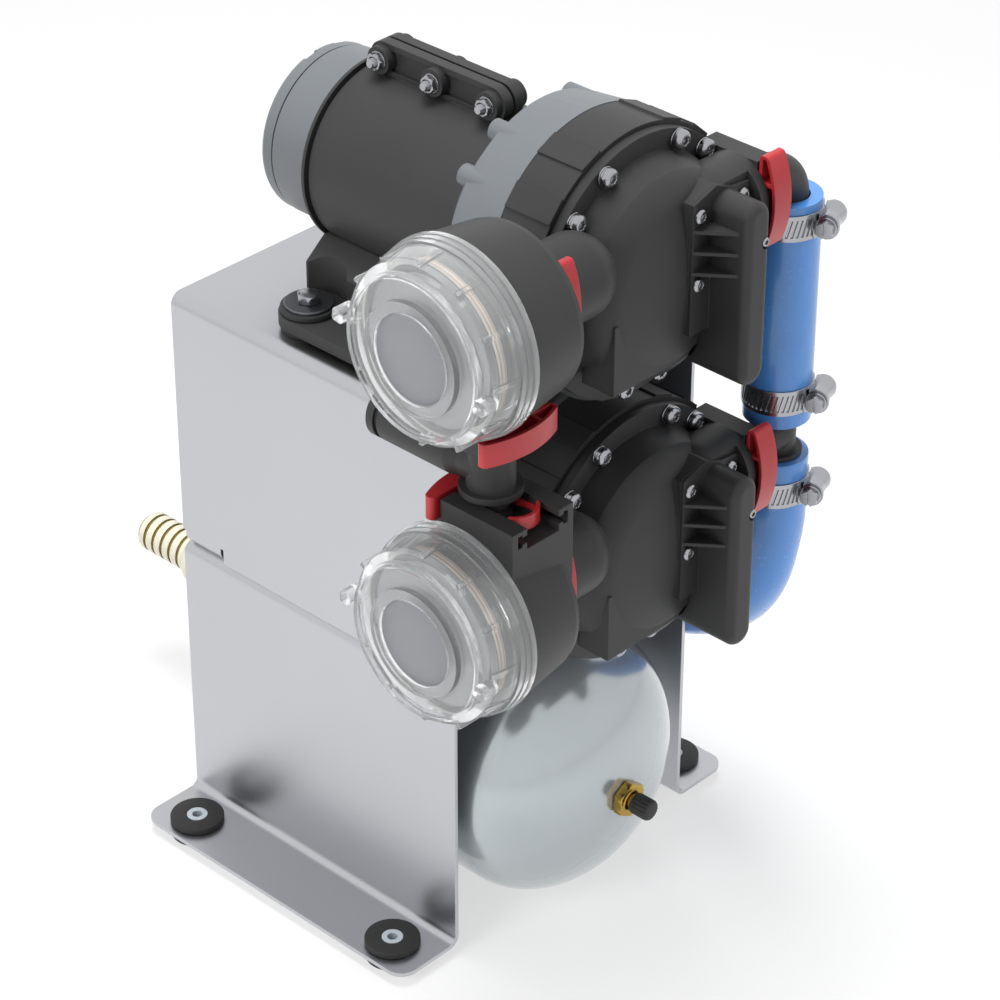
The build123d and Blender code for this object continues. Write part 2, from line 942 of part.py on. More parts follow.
def rails(plane, tail=rail_tail):
    # Two slotted rails astride the pipe, centred on the clip's plane.
    middle = (rail_nose - tail) / 2
    length = rail_nose + tail
    with BuildSketch(plane.offset(-rail_face)) as throat:
        with Locations((middle, 0)):
            Rectangle(length, 2 * rail_gap)
    extrude(throat.sketch, amount=rail_length, mode=Mode.SUBTRACT)
    with BuildSketch(plane.offset(-rail_face)) as bars:
        for side in (-1, 1):
            with Locations((middle, side * (rail_gap + rail_outer) / 2)):
                Rectangle(length, rail_outer - rail_gap)
    extrude(bars.sketch, amount=rail_length)
    slot = clip_thick + 2 * slide_gap
    with BuildSketch(plane.offset(-slot / 2)) as groove:
        with Locations((middle, 0)):
            Rectangle(length, 2 * slot_reach)
    extrude(groove.sketch, amount=slot, mode=Mode.SUBTRACT)
    wide = bead_thick + 2 * slide_gap
    with BuildSketch(plane.offset(-wide / 2)) as beads:
        for side in (-1, 1):
            with Locations((middle, side * (slot_reach - (bead_width + slide_gap) / 2))):
                Rectangle(length, bead_width + slide_gap)
    extrude(beads.sketch, amount=wide, mode=Mode.SUBTRACT)


def spigot(plane, reach):
    # Grooved pipe end that plugs into the socket behind the rails.
    groove = clip_thick / 2 + slide_gap
    start = -rail_face - spigot_depth
    points = [
        (start, spigot_bore_r),
        (start, spigot_r),
        (-rail_face - spigot_depth / 2 - 1.2, spigot_r),
        (-rail_face - spigot_depth / 2 - 1.2, spigot_r - 1.3),
        (-rail_face - spigot_depth / 2 + 1.2, spigot_r - 1.3),
        (-rail_face - spigot_depth / 2 + 1.2, spigot_r),
        (-groove, spigot_r),
        (-groove, neck_r),
        (groove, neck_r),
        (groove, spigot_r),
        (reach, spigot_r),
        (reach, spigot_bore_r),
    ]
    turned(points, tuple(plane.origin), tuple(plane.z_dir))


def slide_clip(label, plane, back):
    # Keyhole slide: narrow hole on the neck, wide hole to let the spigot out.
    hole = spigot_r + slide_gap
    edge = slot_reach - slide_gap
    handle_start = rail_nose + handle_gap
    end = -back - hole - bow_thick
    with BuildPart() as piece:
        with BuildSketch(plane.offset(-clip_thick / 2)) as web:
            with Locations(((handle_start + 1 - back) / 2, 0)):
                Rectangle(handle_start + 1 + back, 2 * edge)
            with Locations((-back, 0)):
                Circle(hole + bow_thick)
            with Locations((-back, 0)):
                Circle(hole, mode=Mode.SUBTRACT)
            with Locations((-back / 2, 0)):
                Rectangle(back, 2 * (neck_r + slide_gap), mode=Mode.SUBTRACT)
            Circle(neck_r + slide_gap, mode=Mode.SUBTRACT)
        extrude(web.sketch, amount=clip_thick)
        with BuildSketch(plane.offset(-bead_thick / 2)) as beads:
            for side in (-1, 1):
                with Locations(((handle_start - back) / 2, side * (edge - bead_width / 2))):
                    Rectangle(handle_start + back, bead_width)
        extrude(beads.sketch, amount=bead_thick)
        with BuildSketch(plane.offset(-clip_thick / 2)) as bow:
            with Locations((-back, 0)):
                Circle(hole + bow_thick)
                Circle(hole, mode=Mode.SUBTRACT)
            with Locations((end + bow_reach / 2, 0)):
                Rectangle(bow_reach, 2 * (rail_gap - slide_gap), mode=Mode.INTERSECT)
        extrude(bow.sketch, amount=clip_thick / 2 + bow_height)
        with BuildSketch(plane.offset(slide_gap - rail_face)) as grip:
            with BuildLine():
                side_end = handle_start + handle_side
                Polyline(
                    (side_end, handle_half),
                    (handle_start, handle_half),
                    (handle_start, -handle_half),
                    (side_end, -handle_half),
                )
                ThreePointArc(
                    (side_end, -handle_half),
                    (side_end + handle_bulge, 0),
                    (side_end, handle_half),
                )
            make_face()
            fillet(grip.vertices(), handle_side * 0.45)
        extrude(grip.sketch, amount=handle_height)
        with BuildSketch(plane.offset(slide_gap - rail_face)) as pocket:
            offset(grip.sketch_local, amount=-handle_wall)
            with Locations((handle_start, rib_side)):
                Rectangle(6 * handle_side, handle_wall, mode=Mode.SUBTRACT)
        extrude(pocket.sketch, amount=pocket_depth, mode=Mode.SUBTRACT)
    save(piece, label)


def port_socket(port, mouth, side):
    # Round socket: its mouth faces outwards, its inner end is rounded over.
    straight = mouth - socket_straight
    with BuildSketch(Plane(origin=port, x_dir=(side, 0, 0), z_dir=(0, -1, 0))) as half:
        with BuildLine():
            EllipticalCenterArc(
                (straight, 0), socket_round, socket_r, start_angle=90, arc_size=90
            )
            Polyline(
                (straight, socket_r),
                (mouth, socket_r),
                (mouth, 0),
                (straight - socket_round, 0),
            )
        make_face()
    revolve(half.sketch, axis=Axis(port, (1, 0, 0)))


def inlet_link(port, radius, mode):
    # Slanting passage from the inlet socket back into the dome.
    start = Vector(port) - Vector(inlet_face - socket_straight, 0, 0)
    along = Vector(port[0] + link_end_x, port[1] + link_depth, port[2] - link_drop) - start
    with BuildSketch(Plane(origin=start, z_dir=along)) as passage:
        Circle(radius)
    extrude(passage.sketch, amount=along.length, mode=mode)


def pump_head(name, deck):
    axis_z = deck + axis_rise
    port_z = axis_z + port_rise
    port = (0, port_y, port_z)
    with BuildPart() as head:
        dome(axis_z)
        inlet_link(port, link_r, Mode.ADD)
        port_socket(port, inlet_face, -1)
        port_socket(port, outlet_face, 1)
        wedge_face = head_front + wedge_front
        with BuildSketch(front_plane(0, wedge_face + wedge_depth, axis_z)):
            with BuildLine():
                Polyline(
                    (wedge_left, wedge_low),
                    (wedge_right, wedge_low),
                    (wedge_right, wedge_high),
                    (wedge_left, wedge_high),
                    close=True,
                )
            make_face()
        extrude(amount=wedge_depth)
        with BuildSketch(front_plane(0, pad_y, axis_z)):
            with Locations((cover_outline[-1][0] / 2, port_rise)):
                Rectangle(cover_outline[-1][0], 2 * socket_r + cover_plate)
        extrude(amount=socket_r, mode=Mode.SUBTRACT)
        with BuildSketch(front_plane(0, pad_y + pad_depth, axis_z)):
            with BuildLine():
                Polyline(*cover_outline, close=True)
            make_face()
        extrude(amount=pad_depth)
        rails(outlet_plane(port_z), head_joint - port_y - slide_gap)
        rails(inlet_plane(port_z))
        chamber = [
            (head_joint, 0),
            (head_joint, valve_plate_r + seat_gap),
            (head_joint - valve_plate - seat_gap, valve_plate_r + seat_gap),
            (dome_base - dome_shoulder, dome_shoulder_r - head_wall),
            (dome_base - dome_shoulder - 6, dome_crown_r),
            (dome_base - dome_shoulder - 6, 0),
        ]
        turned(chamber, (0, 0, axis_z), (0, 1, 0), mode=Mode.SUBTRACT)
        bore_r = spigot_r + bore_gap
        outlet_in = outlet_face - spigot_depth - bore_spare
        inlet_in = -inlet_face + spigot_depth + bore_spare
        turned(disc_points(outlet_in, outlet_face, bore_r), port, (1, 0, 0),
               mode=Mode.SUBTRACT)
        turned(disc_points(outlet_in - socket_round / 2, outlet_in, spigot_bore_r), port,
               (1, 0, 0), mode=Mode.SUBTRACT)
        turned(disc_points(-inlet_face, inlet_in, bore_r), port, (1, 0, 0),
               mode=Mode.SUBTRACT)
        inlet_link(port, link_bore_r, Mode.SUBTRACT)
        drill(front_plane(0, pad_y, axis_z), cover_screws, m4_r + hole_gap, cover_bite)
        spots = [tuple(spot.position)[:2] for spot in screw_spots(screw_circle_r)]
        drill(front_plane(0, dome_base, axis_z), spots, m5_r + hole_gap, head_flange)
        with BuildSketch(front_plane(0, dome_base, axis_z)) as pockets:
            with Locations(*spots):
                Circle(m5_head_r + screw_pocket_gap)
        extrude(
            pockets.sketch,
            amount=m5_washer + m5_head + screw_pocket_gap,
            mode=Mode.SUBTRACT,
        )
        drill(
            front_plane(0, head_front, axis_z),
            [(wedge_right + screw_boss_r, wedge_low)],
            drain_r,
            dome_depth - head_flange,
        )
    save(head, f"{name}_pump_head")


def head_screws():
    with BuildPart() as screws:
        for deck in pump_decks.values():
            for spot in screw_spots(screw_circle_r):
                x, z = spot.position.X, spot.position.Z + spot.position.Y
                seat = front_plane(x, dome_base, deck + axis_rise + z)
                length = head_flange + mid_length + screw_tail
                pan_screw(seat, m5_r, m5_head_r, m5_head, m5_washer_r, m5_washer, length)
    save(screws, "head_screws")


def diaphragm(name, deck):
    axis_z = deck + axis_rise
    face = head_joint + diaphragm_thick
    back = face + piston_height
    inner_r = mid_r - mid_wall - screw_boss_r / 2
    spots = [(a * piston_pitch, b * piston_pitch) for a in (-1, 1) for b in (-1, 1)]
    with BuildPart() as rubber:
        with BuildSketch(front_plane(0, face, axis_z)):
            Circle(inner_r - seat_gap)
        extrude(amount=diaphragm_thick)
        with BuildSketch(front_plane(0, back, axis_z)):
            with Locations(*spots):
                Circle(piston_r)
        extrude(amount=piston_height)
        hub_r = crank_r + crank_throw + slide_gap
        with BuildSketch(front_plane(0, back + wobble_thick, axis_z)):
            Circle(wobble_r)
        extrude(amount=wobble_thick)
        hub_end = body_joint - 3
        with BuildSketch(front_plane(0, hub_end + crank_length, axis_z)):
            Circle(hub_r + 4)
        extrude(amount=hub_end + crank_length - back)
        with BuildSketch(front_plane(0, hub_end + crank_length, axis_z)):
            Circle(hub_r)
        extrude(amount=crank_length + 1, mode=Mode.SUBTRACT)
    save(rubber, f"{name}_diaphragm")


def valve_plates():
    spots = [(a * piston_pitch, b * piston_pitch) for a in (-1, 1) for b in (-1, 1)]
    with BuildPart() as plates:
        for deck in pump_decks.values():
            with BuildSketch(front_plane(0, head_joint, deck + axis_rise)) as plate:
                Circle(valve_plate_r)
                with Locations(*spots):
                    Circle(valve_port_r, mode=Mode.SUBTRACT)
            extrude(plate.sketch, amount=valve_plate)
    save(plates, "valve_plates")


def switch_cover(name, deck):
    axis_z = deck + axis_rise
    front = pad_y - cover_plate
    nose = pad_y - cover_depth
    width = cover_right - cover_left
    middle_x = (cover_left + cover_right) / 2
    with BuildPart() as cover:
        back = pad_y + cover_reach_back
        with BuildSketch(front_plane(0, back, axis_z)):
            with Locations((middle_x, (cover_low + cover_high) / 2)):
                RectangleRounded(width, cover_high - cover_low, cover_round)
        extrude(amount=back - nose)
        fillet(cover.faces().sort_by(Axis.Y)[0].edges(), nose_round)
        with BuildSketch(front_plane(0, back, axis_z)):
            with Locations((middle_x, (cover_outline[0][1] + cover_high) / 2 + 5)):
                Rectangle(3 * width, cover_high - cover_outline[0][1] + 10)
        extrude(amount=back - pad_y, mode=Mode.SUBTRACT)
        with BuildSketch(front_plane(0, pad_y, axis_z)):
            with BuildLine():
                Polyline(*cover_outline, close=True)
            make_face()
        extrude(amount=cover_plate)
        for rise in gusset_heights:
            with BuildSketch(level_plane(0, 0, axis_z + rise)):
                with BuildLine():
                    Polyline(
                        (gusset_start, front),
                        (cover_left + 1, front),
                        (cover_left + 1, nose + nose_round),
                        close=True,
                    )
                make_face()
            extrude(amount=gusset_thick)
        dome(axis_z, grow=cover_gap, mode=Mode.SUBTRACT)
        drill(front_plane(0, front, axis_z), cover_screws, m4_r + hole_gap, cover_plate)
        adjuster = [(adjuster_right, adjuster_rise)]
        seat = nose + adjuster_seat
        drill(front_plane(0, nose, axis_z), adjuster, adjuster_r + adjuster_gap, adjuster_seat)
        drill(front_plane(0, seat, axis_z), adjuster, adjuster_shank_r + hole_gap, adjuster_length)
    save(cover, f"{name}_switch_cover")


def switch_screws():
    front = pad_y - cover_plate
    with BuildPart() as screws:
        for deck in pump_decks.values():
            for x, rise in cover_screws:
                seat = front_plane(x, front, deck + axis_rise + rise)
                length = cover_plate + cover_bite - hole_gap
                pan_screw(seat, m4_r, m4_head_r, m4_head, 0, 0, length)
            seat_y = pad_y - cover_depth + adjuster_seat
            adjuster = front_plane(adjuster_right, seat_y, deck + axis_rise + adjuster_rise)
            pan_screw(adjuster, adjuster_shank_r, adjuster_r, adjuster_head, 0, 0,
                      adjuster_length - hole_gap)
    save(screws, "switch_screws")


def cone_radius(x):
    # Outer radius of the strainer bowl's taper at a place along its axis.
    share = (bowl_back - x) / bowl_length
    return bowl_back_r + share * (bowl_front_r - bowl_back_r)


def strainer_bowl(name, deck):
    port_z = deck + axis_rise + port_rise
    axis = (0, port_y, port_z)
    port = upper_tee_plane() if name == "upper" else lower_tee_plane()
    inlet = inlet_plane(port_z)
    with BuildPart() as bowl:
        outer = [
            (bowl_back, 0),
            (bowl_back, bowl_back_r - 2),
            (bowl_back - 1.2, bowl_back_r - 0.4),
            (bowl_back - 4, cone_radius(bowl_back - 4)),
            (bowl_front, bowl_front_r),
            (bowl_front, lip_r),
            (bowl_front - lip_length, lip_r),
            (bowl_front - lip_length, 0),
        ]
        turned(outer, axis, (1, 0, 0))
        root = port.offset(-rail_face)
        with BuildSketch(root) as block:
            with Locations(((rail_nose - rail_tail) / 2, 0)):
                Rectangle(rail_nose + rail_tail, 2 * rail_outer)
        reach = abs(root.origin.Z - port_z)
        extrude(block.sketch, amount=-reach)
        rails(port)
        cavity = [
            (bowl_back - bowl_wall - 2, 0),
            (bowl_back - bowl_wall - 2, bowl_back_r - 2 * bowl_wall),
            (bowl_front - lip_length, lip_r - bowl_wall),
            (bowl_front - lip_length, 0),
        ]
        turned(cavity, axis, (1, 0, 0), mode=Mode.SUBTRACT)
        along = tuple(port.z_dir)
        turned(
            disc_points(-rail_face - bowl_back_r / 2, -rail_face, spigot_r + bore_gap),
            tuple(port.origin),
            along,
            mode=Mode.SUBTRACT,
        )
        spigot(inlet, bowl_back * -1 + inlet_clip_x + 1)
        turned(
            disc_points(bowl_back - bowl_wall - 3, bowl_back + 1, spigot_bore_r),
            axis,
            (1, 0, 0),
            mode=Mode.SUBTRACT,
        )
    save(bowl, f"{name}_strainer_bowl")


def strainer_lid(name, deck):
    port_z = deck + axis_rise + port_rise
    axis = (0, port_y, port_z)
    rim_end = bowl_front - lid_rim_length
    with BuildPart() as lid:
        step = lid_rim_length / 3
        outer = [
            (bowl_front - lid_gap, lip_r + lid_gap),
            (bowl_front - lid_gap, lid_rim_r),
            (bowl_front - step, lid_rim_r),
            (bowl_front - step, lid_rim_r - lid_step / 2),
            (bowl_front - 2 * step, lid_rim_r - lid_step / 2),
            (bowl_front - 2 * step, lid_rim_r - lid_step),
            (rim_end, lid_rim_r - lid_step),
            (rim_end, lid_rim_r - 2 * lid_step),
            (lid_front + 6, lid_front_r),
            (lid_front + 5, lid_ring_r),
            (lid_front + 1, lid_ring_r),
            (lid_front + 1, lid_ring_r - lid_ring_wall),
            (lid_front + 3, lid_ring_r - lid_ring_wall),
            (lid_front + 3, lid_window_r + lid_window_wall),
            (lid_front, lid_window_r + lid_window_wall),
            (lid_front, lid_window_r),
            (lid_front + 2, lid_window_r),
            (lid_front + 2, 0),
            (lid_front + 2 + lid_wall, 0),
            (lid_front + 3 + lid_wall, lid_window_r + lid_window_wall),
            (lid_front + 4 + lid_wall, lid_ring_r - 2),
            (bowl_front - lip_length - lid_gap - 1, lip_r + seal_height + lid_gap),
            (rim_end, lip_r + seal_height + lid_gap),
            (rim_end + 1, lip_r + lid_gap),
        ]
        turned(outer, axis, (1, 0, 0))
        rib_start = lid_front + 6
        with BuildSketch(Plane(origin=(rim_end + 0.5, port_y, port_z), x_dir=(0, 1, 0),
                               z_dir=(-1, 0, 0))) as ribs:
            with PolarLocations(lid_front_r + lid_rib_height / 2, lid_ribs):
                Rectangle(lid_rib_height + 1, lid_rib_width)
        extrude(ribs.sketch, amount=rim_end + 0.5 - rib_start)
        for angle in lug_angles:
            turn = radians(angle)
            spot = (lid_front_r * cos(turn), lid_front_r * sin(turn))
            lug_plane = Plane(origin=(lid_front - 1, port_y, port_z), x_dir=(0, 1, 0),
                              z_dir=(1, 0, 0))
            with BuildSketch(lug_plane) as lug:
                with Locations(Location((spot[0], spot[1], 0), (0, 0, angle))):
                    RectangleRounded(2 * lug_reach, lug_width, 1.5)
            extrude(lug.sketch, amount=8.0)
    save(lid, f"{name}_strainer_lid")


def strainer_seal(name, deck):
    axis = (0, port_y, deck + axis_rise + port_rise)
    start = bowl_front - lip_length
    with BuildPart() as seal:
        ring = tube_points(start, start + seal_width, lip_r + seal_height, lip_r)
        turned(ring, axis, (1, 0, 0))
    save(seal, f"{name}_strainer_seal")


def strainer_screen(name, deck):
    axis = (0, port_y, deck + axis_rise + port_rise)
    back = bowl_back - bowl_wall - 2
    front = bowl_front - lip_length + 1
    with BuildPart() as screen:
        outline = [
            (back, screen_r),
            (back, screen_r - 3),
            (back - 1.5, screen_r - 3),
            (back - 1.5, screen_r - screen_wall),
            (front + 1.5, screen_r - screen_wall),
            (front + 1.5, 0),
            (front, 0),
            (front, lip_r - bowl_wall - slide_gap),
            (front + 1.5, lip_r - bowl_wall - slide_gap),
            (front + 1.5, screen_r),
        ]
        turned(outline, axis, (1, 0, 0))
    save(screen, f"{name}_strainer_screen")


def port_seals():
    # O-rings in the grooves of the six spigots.
    planes = []
    for deck in pump_decks.values():
        port_z = deck + axis_rise + port_rise
        planes += [outlet_plane(port_z), inlet_plane(port_z)]
    planes += [upper_tee_plane(), lower_tee_plane()]
    with BuildPart() as seals:
        for plane in planes:
            place = plane.offset(-rail_face - spigot_depth / 2)
            start = -seal_r
            ring = tube_points(start, seal_r, spigot_r + bore_gap - 0.1, spigot_r - 1.25)
            turned(ring, tuple(place.origin), tuple(plane.z_dir))
    save(seals, "port_seals")


def inlet_tee():
    upper = upper_tee_plane()
    lower = lower_tee_plane()
    top = upper.origin.Z - rail_face - collar_gap
    bottom = lower.origin.Z + rail_face + collar_gap
    middle = (top + bottom) / 2
    axis = (tee_x, port_y, 0)
    with BuildPart() as tee:
        turned(disc_points(bottom, top, pipe_r), axis, (0, 0, 1))
        turned(disc_points(top - collar_thick, top, collar_r), axis, (0, 0, 1))
        turned(disc_points(bottom, bottom + collar_thick, collar_r), axis, (0, 0, 1))
        reach = branch_end_y - port_y
        groove = reach - 3 * branch_groove
        branch = [
            (0, 0),
            (0, pipe_r),
            (pipe_r, pipe_r),
            (pipe_r + 6, branch_r),
            (groove, branch_r),
            (groove, branch_r - branch_groove_depth),
            (groove + branch_groove, branch_r - branch_groove_depth),
            (groove + branch_groove, branch_r),
            (reach - 1, branch_r),
            (reach, branch_r - 1),
            (reach, 0),
        ]
        turned(branch, (tee_x, port_y, middle), (0, 1, 0))
        spigot(upper, rail_face + collar_gap + 1)
        spigot(lower, rail_face + collar_gap + 1)
        turned(disc_points(bottom - 1, top + 1, spigot_bore_r), axis, (0, 0, 1),
               mode=Mode.SUBTRACT)
        turned(disc_points(0, reach, branch_bore_r), (tee_x, port_y, middle), (0, 1, 0),
               mode=Mode.SUBTRACT)
    save(tee, "inlet_tee")


def barb(origin, direction, length):
    # Hose tail with saw-tooth ridges, starting at its shoulder.
    count = int(length / barb_pitch)
    points = [(0, barb_bore_r), (0, barb_r)]
    for step in range(count):
        ridge = length - (count - step) * barb_pitch
        points += [(ridge + 1, barb_r), (ridge + barb_pitch - 0.01, barb_r - barb_rise)]
    points += [(length, barb_r - barb_rise), (length, barb_bore_r)]
    turned(points, origin, direction)


def outlet_elbow():
    port = outlet_plane(high_port_z)
    start = (port.origin.X + rail_face, port_y, high_port_z)
    corner = (hose_x, port_y, high_port_z)
    end = (hose_x, port_y, hose_top - 2)
    with BuildPart() as elbow:
        spigot(port, rail_face)
        with BuildLine() as route:
            FilletPolyline(start, corner, end, radius=elbow_bend)
        with BuildSketch(side_plane(*start)) as ring:
            Circle(elbow_r)
            Circle(spigot_bore_r, mode=Mode.SUBTRACT)
        sweep(ring.sketch, path=route.wire())
        barb(end, (0, 0, -1), barb_length)
    save(elbow, "outlet_elbow")


def outlet_tee():
    port = outlet_plane(low_port_z)
    axis = (hose_x, port_y, 0)
    arm_start = port.origin.X + rail_face
    with BuildPart() as tee:
        spigot(port, rail_face)
        arm = (0, port_y, low_port_z)
        turned(disc_points(arm_start, hose_x, elbow_r), arm, (1, 0, 0))
        turned(disc_points(curved_top, hose_bottom, elbow_r), axis, (0, 0, 1))
        ring = disc_points(curved_top, curved_top + tee_flange, tee_flange_r)
        turned(ring, axis, (0, 0, 1))
        turned(disc_points(curved_top - 1, hose_bottom + 1, barb_bore_r), axis, (0, 0, 1),
               mode=Mode.SUBTRACT)
        turned(disc_points(arm_start - 1, hose_x, spigot_bore_r), arm, (1, 0, 0),
               mode=Mode.SUBTRACT)
        barb((hose_x, port_y, hose_bottom), (0, 0, 1), barb_length)
        barb((hose_x, port_y, curved_top), (0, 0, -1), barb_length)
    save(tee, "outlet_tee")


def tank_tee():
    rear_face = tank_rear + dome_height + tank_neck
    spine = (tank_x, 0, tank_z)
    with BuildPart() as tee:
        body = [
            (rear_face, 0),
            (rear_face, tank_neck_r - 1),
            (rear_tee_y - 20, rear_tee_r),
            (rear_tee_y + 16, rear_tee_r),
            (rear_tee_y + 20, rear_barb_r + 1),
            (rear_tee_y + 20, rear_barb_r),
            (rear_barb_end - 2, rear_barb_r),
            (rear_barb_end, rear_barb_r - 1.5),
            (rear_barb_end, 0),
        ]
        turned(body, spine, (0, 1, 0))
        ridge_start = rear_tee_y + 20
        pitch = (rear_barb_end - ridge_start - 4) / 5
        for step in range(5):
            at = ridge_start + 3 + step * pitch
            cut = tube_points(at, at + 2, rear_barb_r + 1, rear_barb_r - 0.9)
            turned(cut, spine, (0, 1, 0), mode=Mode.SUBTRACT)
        arm = (0, rear_tee_y, tank_z)
        turned(disc_points(tank_x, side_hose_x, elbow_r + 1.5), arm, (1, 0, 0))
        turned(disc_points(rear_face, rear_barb_end, barb_bore_r), spine, (0, 1, 0),
               mode=Mode.SUBTRACT)
        turned(disc_points(tank_x, side_hose_x + 1, barb_bore_r), arm, (1, 0, 0),
               mode=Mode.SUBTRACT)
        barb((side_hose_x, rear_tee_y, tank_z), (1, 0, 0), rear_run_x - curved_radii[-1] - side_hose_x)
    save(tee, "tank_tee")


def straight_hose():
    with BuildPart() as hose:
        ring = tube_points(hose_bottom, hose_top, hose_r, hose_bore_r)
        turned(ring, (hose_x, port_y, 0), (0, 0, 1))
    save(hose, "straight_hose")


def curved_hose():
    with BuildPart() as hose:
        with BuildLine() as route:
            FilletPolyline(*curved_route, radius=list(curved_radii))
        with BuildSketch(Plane(origin=curved_route[0], x_dir=(1, 0, 0), z_dir=(0, 0, -1))) as ring:
            Circle(hose_r)
            Circle(hose_bore_r, mode=Mode.SUBTRACT)
        sweep(ring.sketch, path=route.wire())
    expected = pi * (hose_r**2 - hose_bore_r**2) * route.wire().length
    print("curved hose volume over section times length", round(hose.part.volume / expected, 4))
    print("curved hose bend radii", curved_radii)
    save(hose, "curved_hose")


def clamp_planes():
    def upright(z):
        return Plane(origin=(hose_x, port_y, z), x_dir=(1, 0, 0), z_dir=(0, 0, 1))

    side = (side_hose_x + clamp_inset - 1, rear_tee_y, tank_z)
    return [
        upright(hose_top - clamp_inset),
        upright(hose_bottom + clamp_inset + 3.5),
        upright(curved_top - clamp_inset - 6),
        Plane(origin=side, x_dir=(0, 1, 0), z_dir=(1, 0, 0)),
    ]


def clamps():
    inner = hose_r + clamp_gap
    outer = inner + clamp_thick
    with BuildPart() as bands:
        for plane in clamp_planes():
            with BuildSketch(plane.offset(-clamp_width / 2)) as band:
                Circle(outer)
                Circle(inner, mode=Mode.SUBTRACT)
            extrude(band.sketch, amount=clamp_width)
            spine = plane.origin + plane.x_dir * (outer + worm_height / 2 - 0.5)
            across = Plane(origin=spine, x_dir=plane.z_dir, z_dir=-plane.y_dir)
            with BuildSketch(across.offset(-worm_length / 2)) as housing:
                RectangleRounded(clamp_width, worm_height, worm_height * 0.3)
                Circle(worm_r + hole_gap, mode=Mode.SUBTRACT)
            extrude(housing.sketch, amount=worm_length)
    save(bands, "clamp_bands")
    with BuildPart() as screws:
        for plane in clamp_planes():
            spine = plane.origin + plane.x_dir * (outer + worm_height / 2 - 0.5)
            across = Plane(origin=spine, x_dir=plane.z_dir, z_dir=-plane.y_dir)
            hex_bolt(
                across.offset(worm_length / 2),
                worm_r,
                worm_head_flats,
                worm_head,
                worm_length,
            )
    save(screws, "clamp_screws")


def tank_outline(shrink, front, rear):
    # Half outline of the tank with domed ends, offset inwards by shrink.
    radius = tank_r - shrink
    height = dome_height - shrink
    with BuildLine() as line:
        EllipticalCenterArc((front, 0), height, radius, start_angle=90, arc_size=90)
        Line((front, radius), (rear, radius))
        EllipticalCenterArc((rear, 0), height, radius, start_angle=0, arc_size=90)
        Line((front - height, 0), (rear + height, 0))
    return line


def tank_shell():
    spine = (tank_x, 0, tank_z)
    front_tip = tank_front - dome_height
    rear_tip = tank_rear + dome_height
    with BuildPart() as shell:
        for shrink, mode in ((0, Mode.ADD), (tank_wall, Mode.SUBTRACT)):
            if mode == Mode.SUBTRACT:
                for y in saddle_y:
                    with BuildSketch(front_plane(tank_x, y + saddle_width / 2, tank_z)) as foot:
                        with BuildLine():
                            top = deck_under - tank_z
                            Polyline(
                                (-saddle_half, top),
                                (saddle_half, top),
                                (saddle_half, top - saddle_plate),
                                (saddle_half * 0.45, top - saddle_plate),
                                (saddle_half * 0.45, 0),
                                (-saddle_half * 0.45, 0),
                                (-saddle_half * 0.45, top - saddle_plate),
                                (-saddle_half, top - saddle_plate),
                                close=True,
                            )
                        make_face()
                    extrude(foot.sketch, amount=saddle_width)
                turned(disc_points(rear_tip - 3, rear_tip + tank_neck, tank_neck_r), spine,
                       (0, 1, 0))
            with BuildSketch(side_plane(tank_x, 0, tank_z)) as half:
                with BuildLine():
                    add(tank_outline(shrink, tank_front, tank_rear).line)
                make_face()
            revolve(half.sketch, axis=Axis(spine, (0, 1, 0)), mode=mode)
        bore = disc_points(front_tip - 1, front_tip + 3, valve_stem_r)
        turned(bore, spine, (0, 1, 0), mode=Mode.SUBTRACT)
        bore = disc_points(rear_tip - 3, rear_tip + tank_neck, barb_bore_r)
        turned(bore, spine, (0, 1, 0), mode=Mode.SUBTRACT)
        holes = [(x, y) for x, y in saddle_spots]
        drill(Plane.XY.offset(deck_under), holes, m6_r + hole_gap, saddle_plate)
    save(shell, "tank_shell")


def tank_bladder():
    spine = (tank_x, 0, tank_z)
    rear_tip = tank_rear + dome_height - tank_wall
    middle = rear_tip - bladder_front
    with BuildPart() as bladder:
        for shrink, mode in ((0, Mode.ADD), (bladder_wall, Mode.SUBTRACT)):
            with BuildSketch(side_plane(tank_x, middle, tank_z)) as half:
                with BuildLine():
                    reach = bladder_front - seat_gap - shrink
                    EllipticalCenterArc((0, 0), reach, bladder_r - shrink, start_angle=0, arc_size=180)
                    Line((-reach, 0), (reach, 0))
                make_face()
            revolve(half.sketch, axis=Axis(spine, (0, 1, 0)), mode=mode)
    save(bladder, "tank_bladder")


def air_valve():
    spine = (tank_x, 0, tank_z)
    tip = tank_front - dome_height
    hex_front = tip - valve_hex
    stem_end = hex_front - valve_stem
    with BuildPart() as valve:
        with BuildSketch(front_plane(tank_x, tip, tank_z)):
            RegularPolygon(valve_flats / 2, 6, major_radius=False)
        extrude(amount=valve_hex)
        turned(disc_points(stem_end, tip + 4, valve_stem_r - hole_gap), spine, (0, 1, 0))
    save(valve, "air_valve")
    cap_start = hex_front - cap_lift
    bore = valve_stem_r - hole_gap + cap_gap
    cap_outer = bore + cap_wall
    cap_end = stem_end - cap_gap - cap_wall
    with BuildPart() as cap:
        with BuildSketch(front_plane(tank_x, cap_start, tank_z)):
            Circle(cap_outer)
            with PolarLocations(cap_outer, cap_ribs):
                Circle(0.6)
        extrude(amount=cap_start - cap_end)
        fillet(cap.faces().sort_by(Axis.Y)[0].edges().filter_by(GeomType.CIRCLE), 0.3)
        turned(disc_points(cap_end + cap_wall, cap_start, bore), spine, (0, 1, 0),
               mode=Mode.SUBTRACT)
    save(cap, "valve_cap")


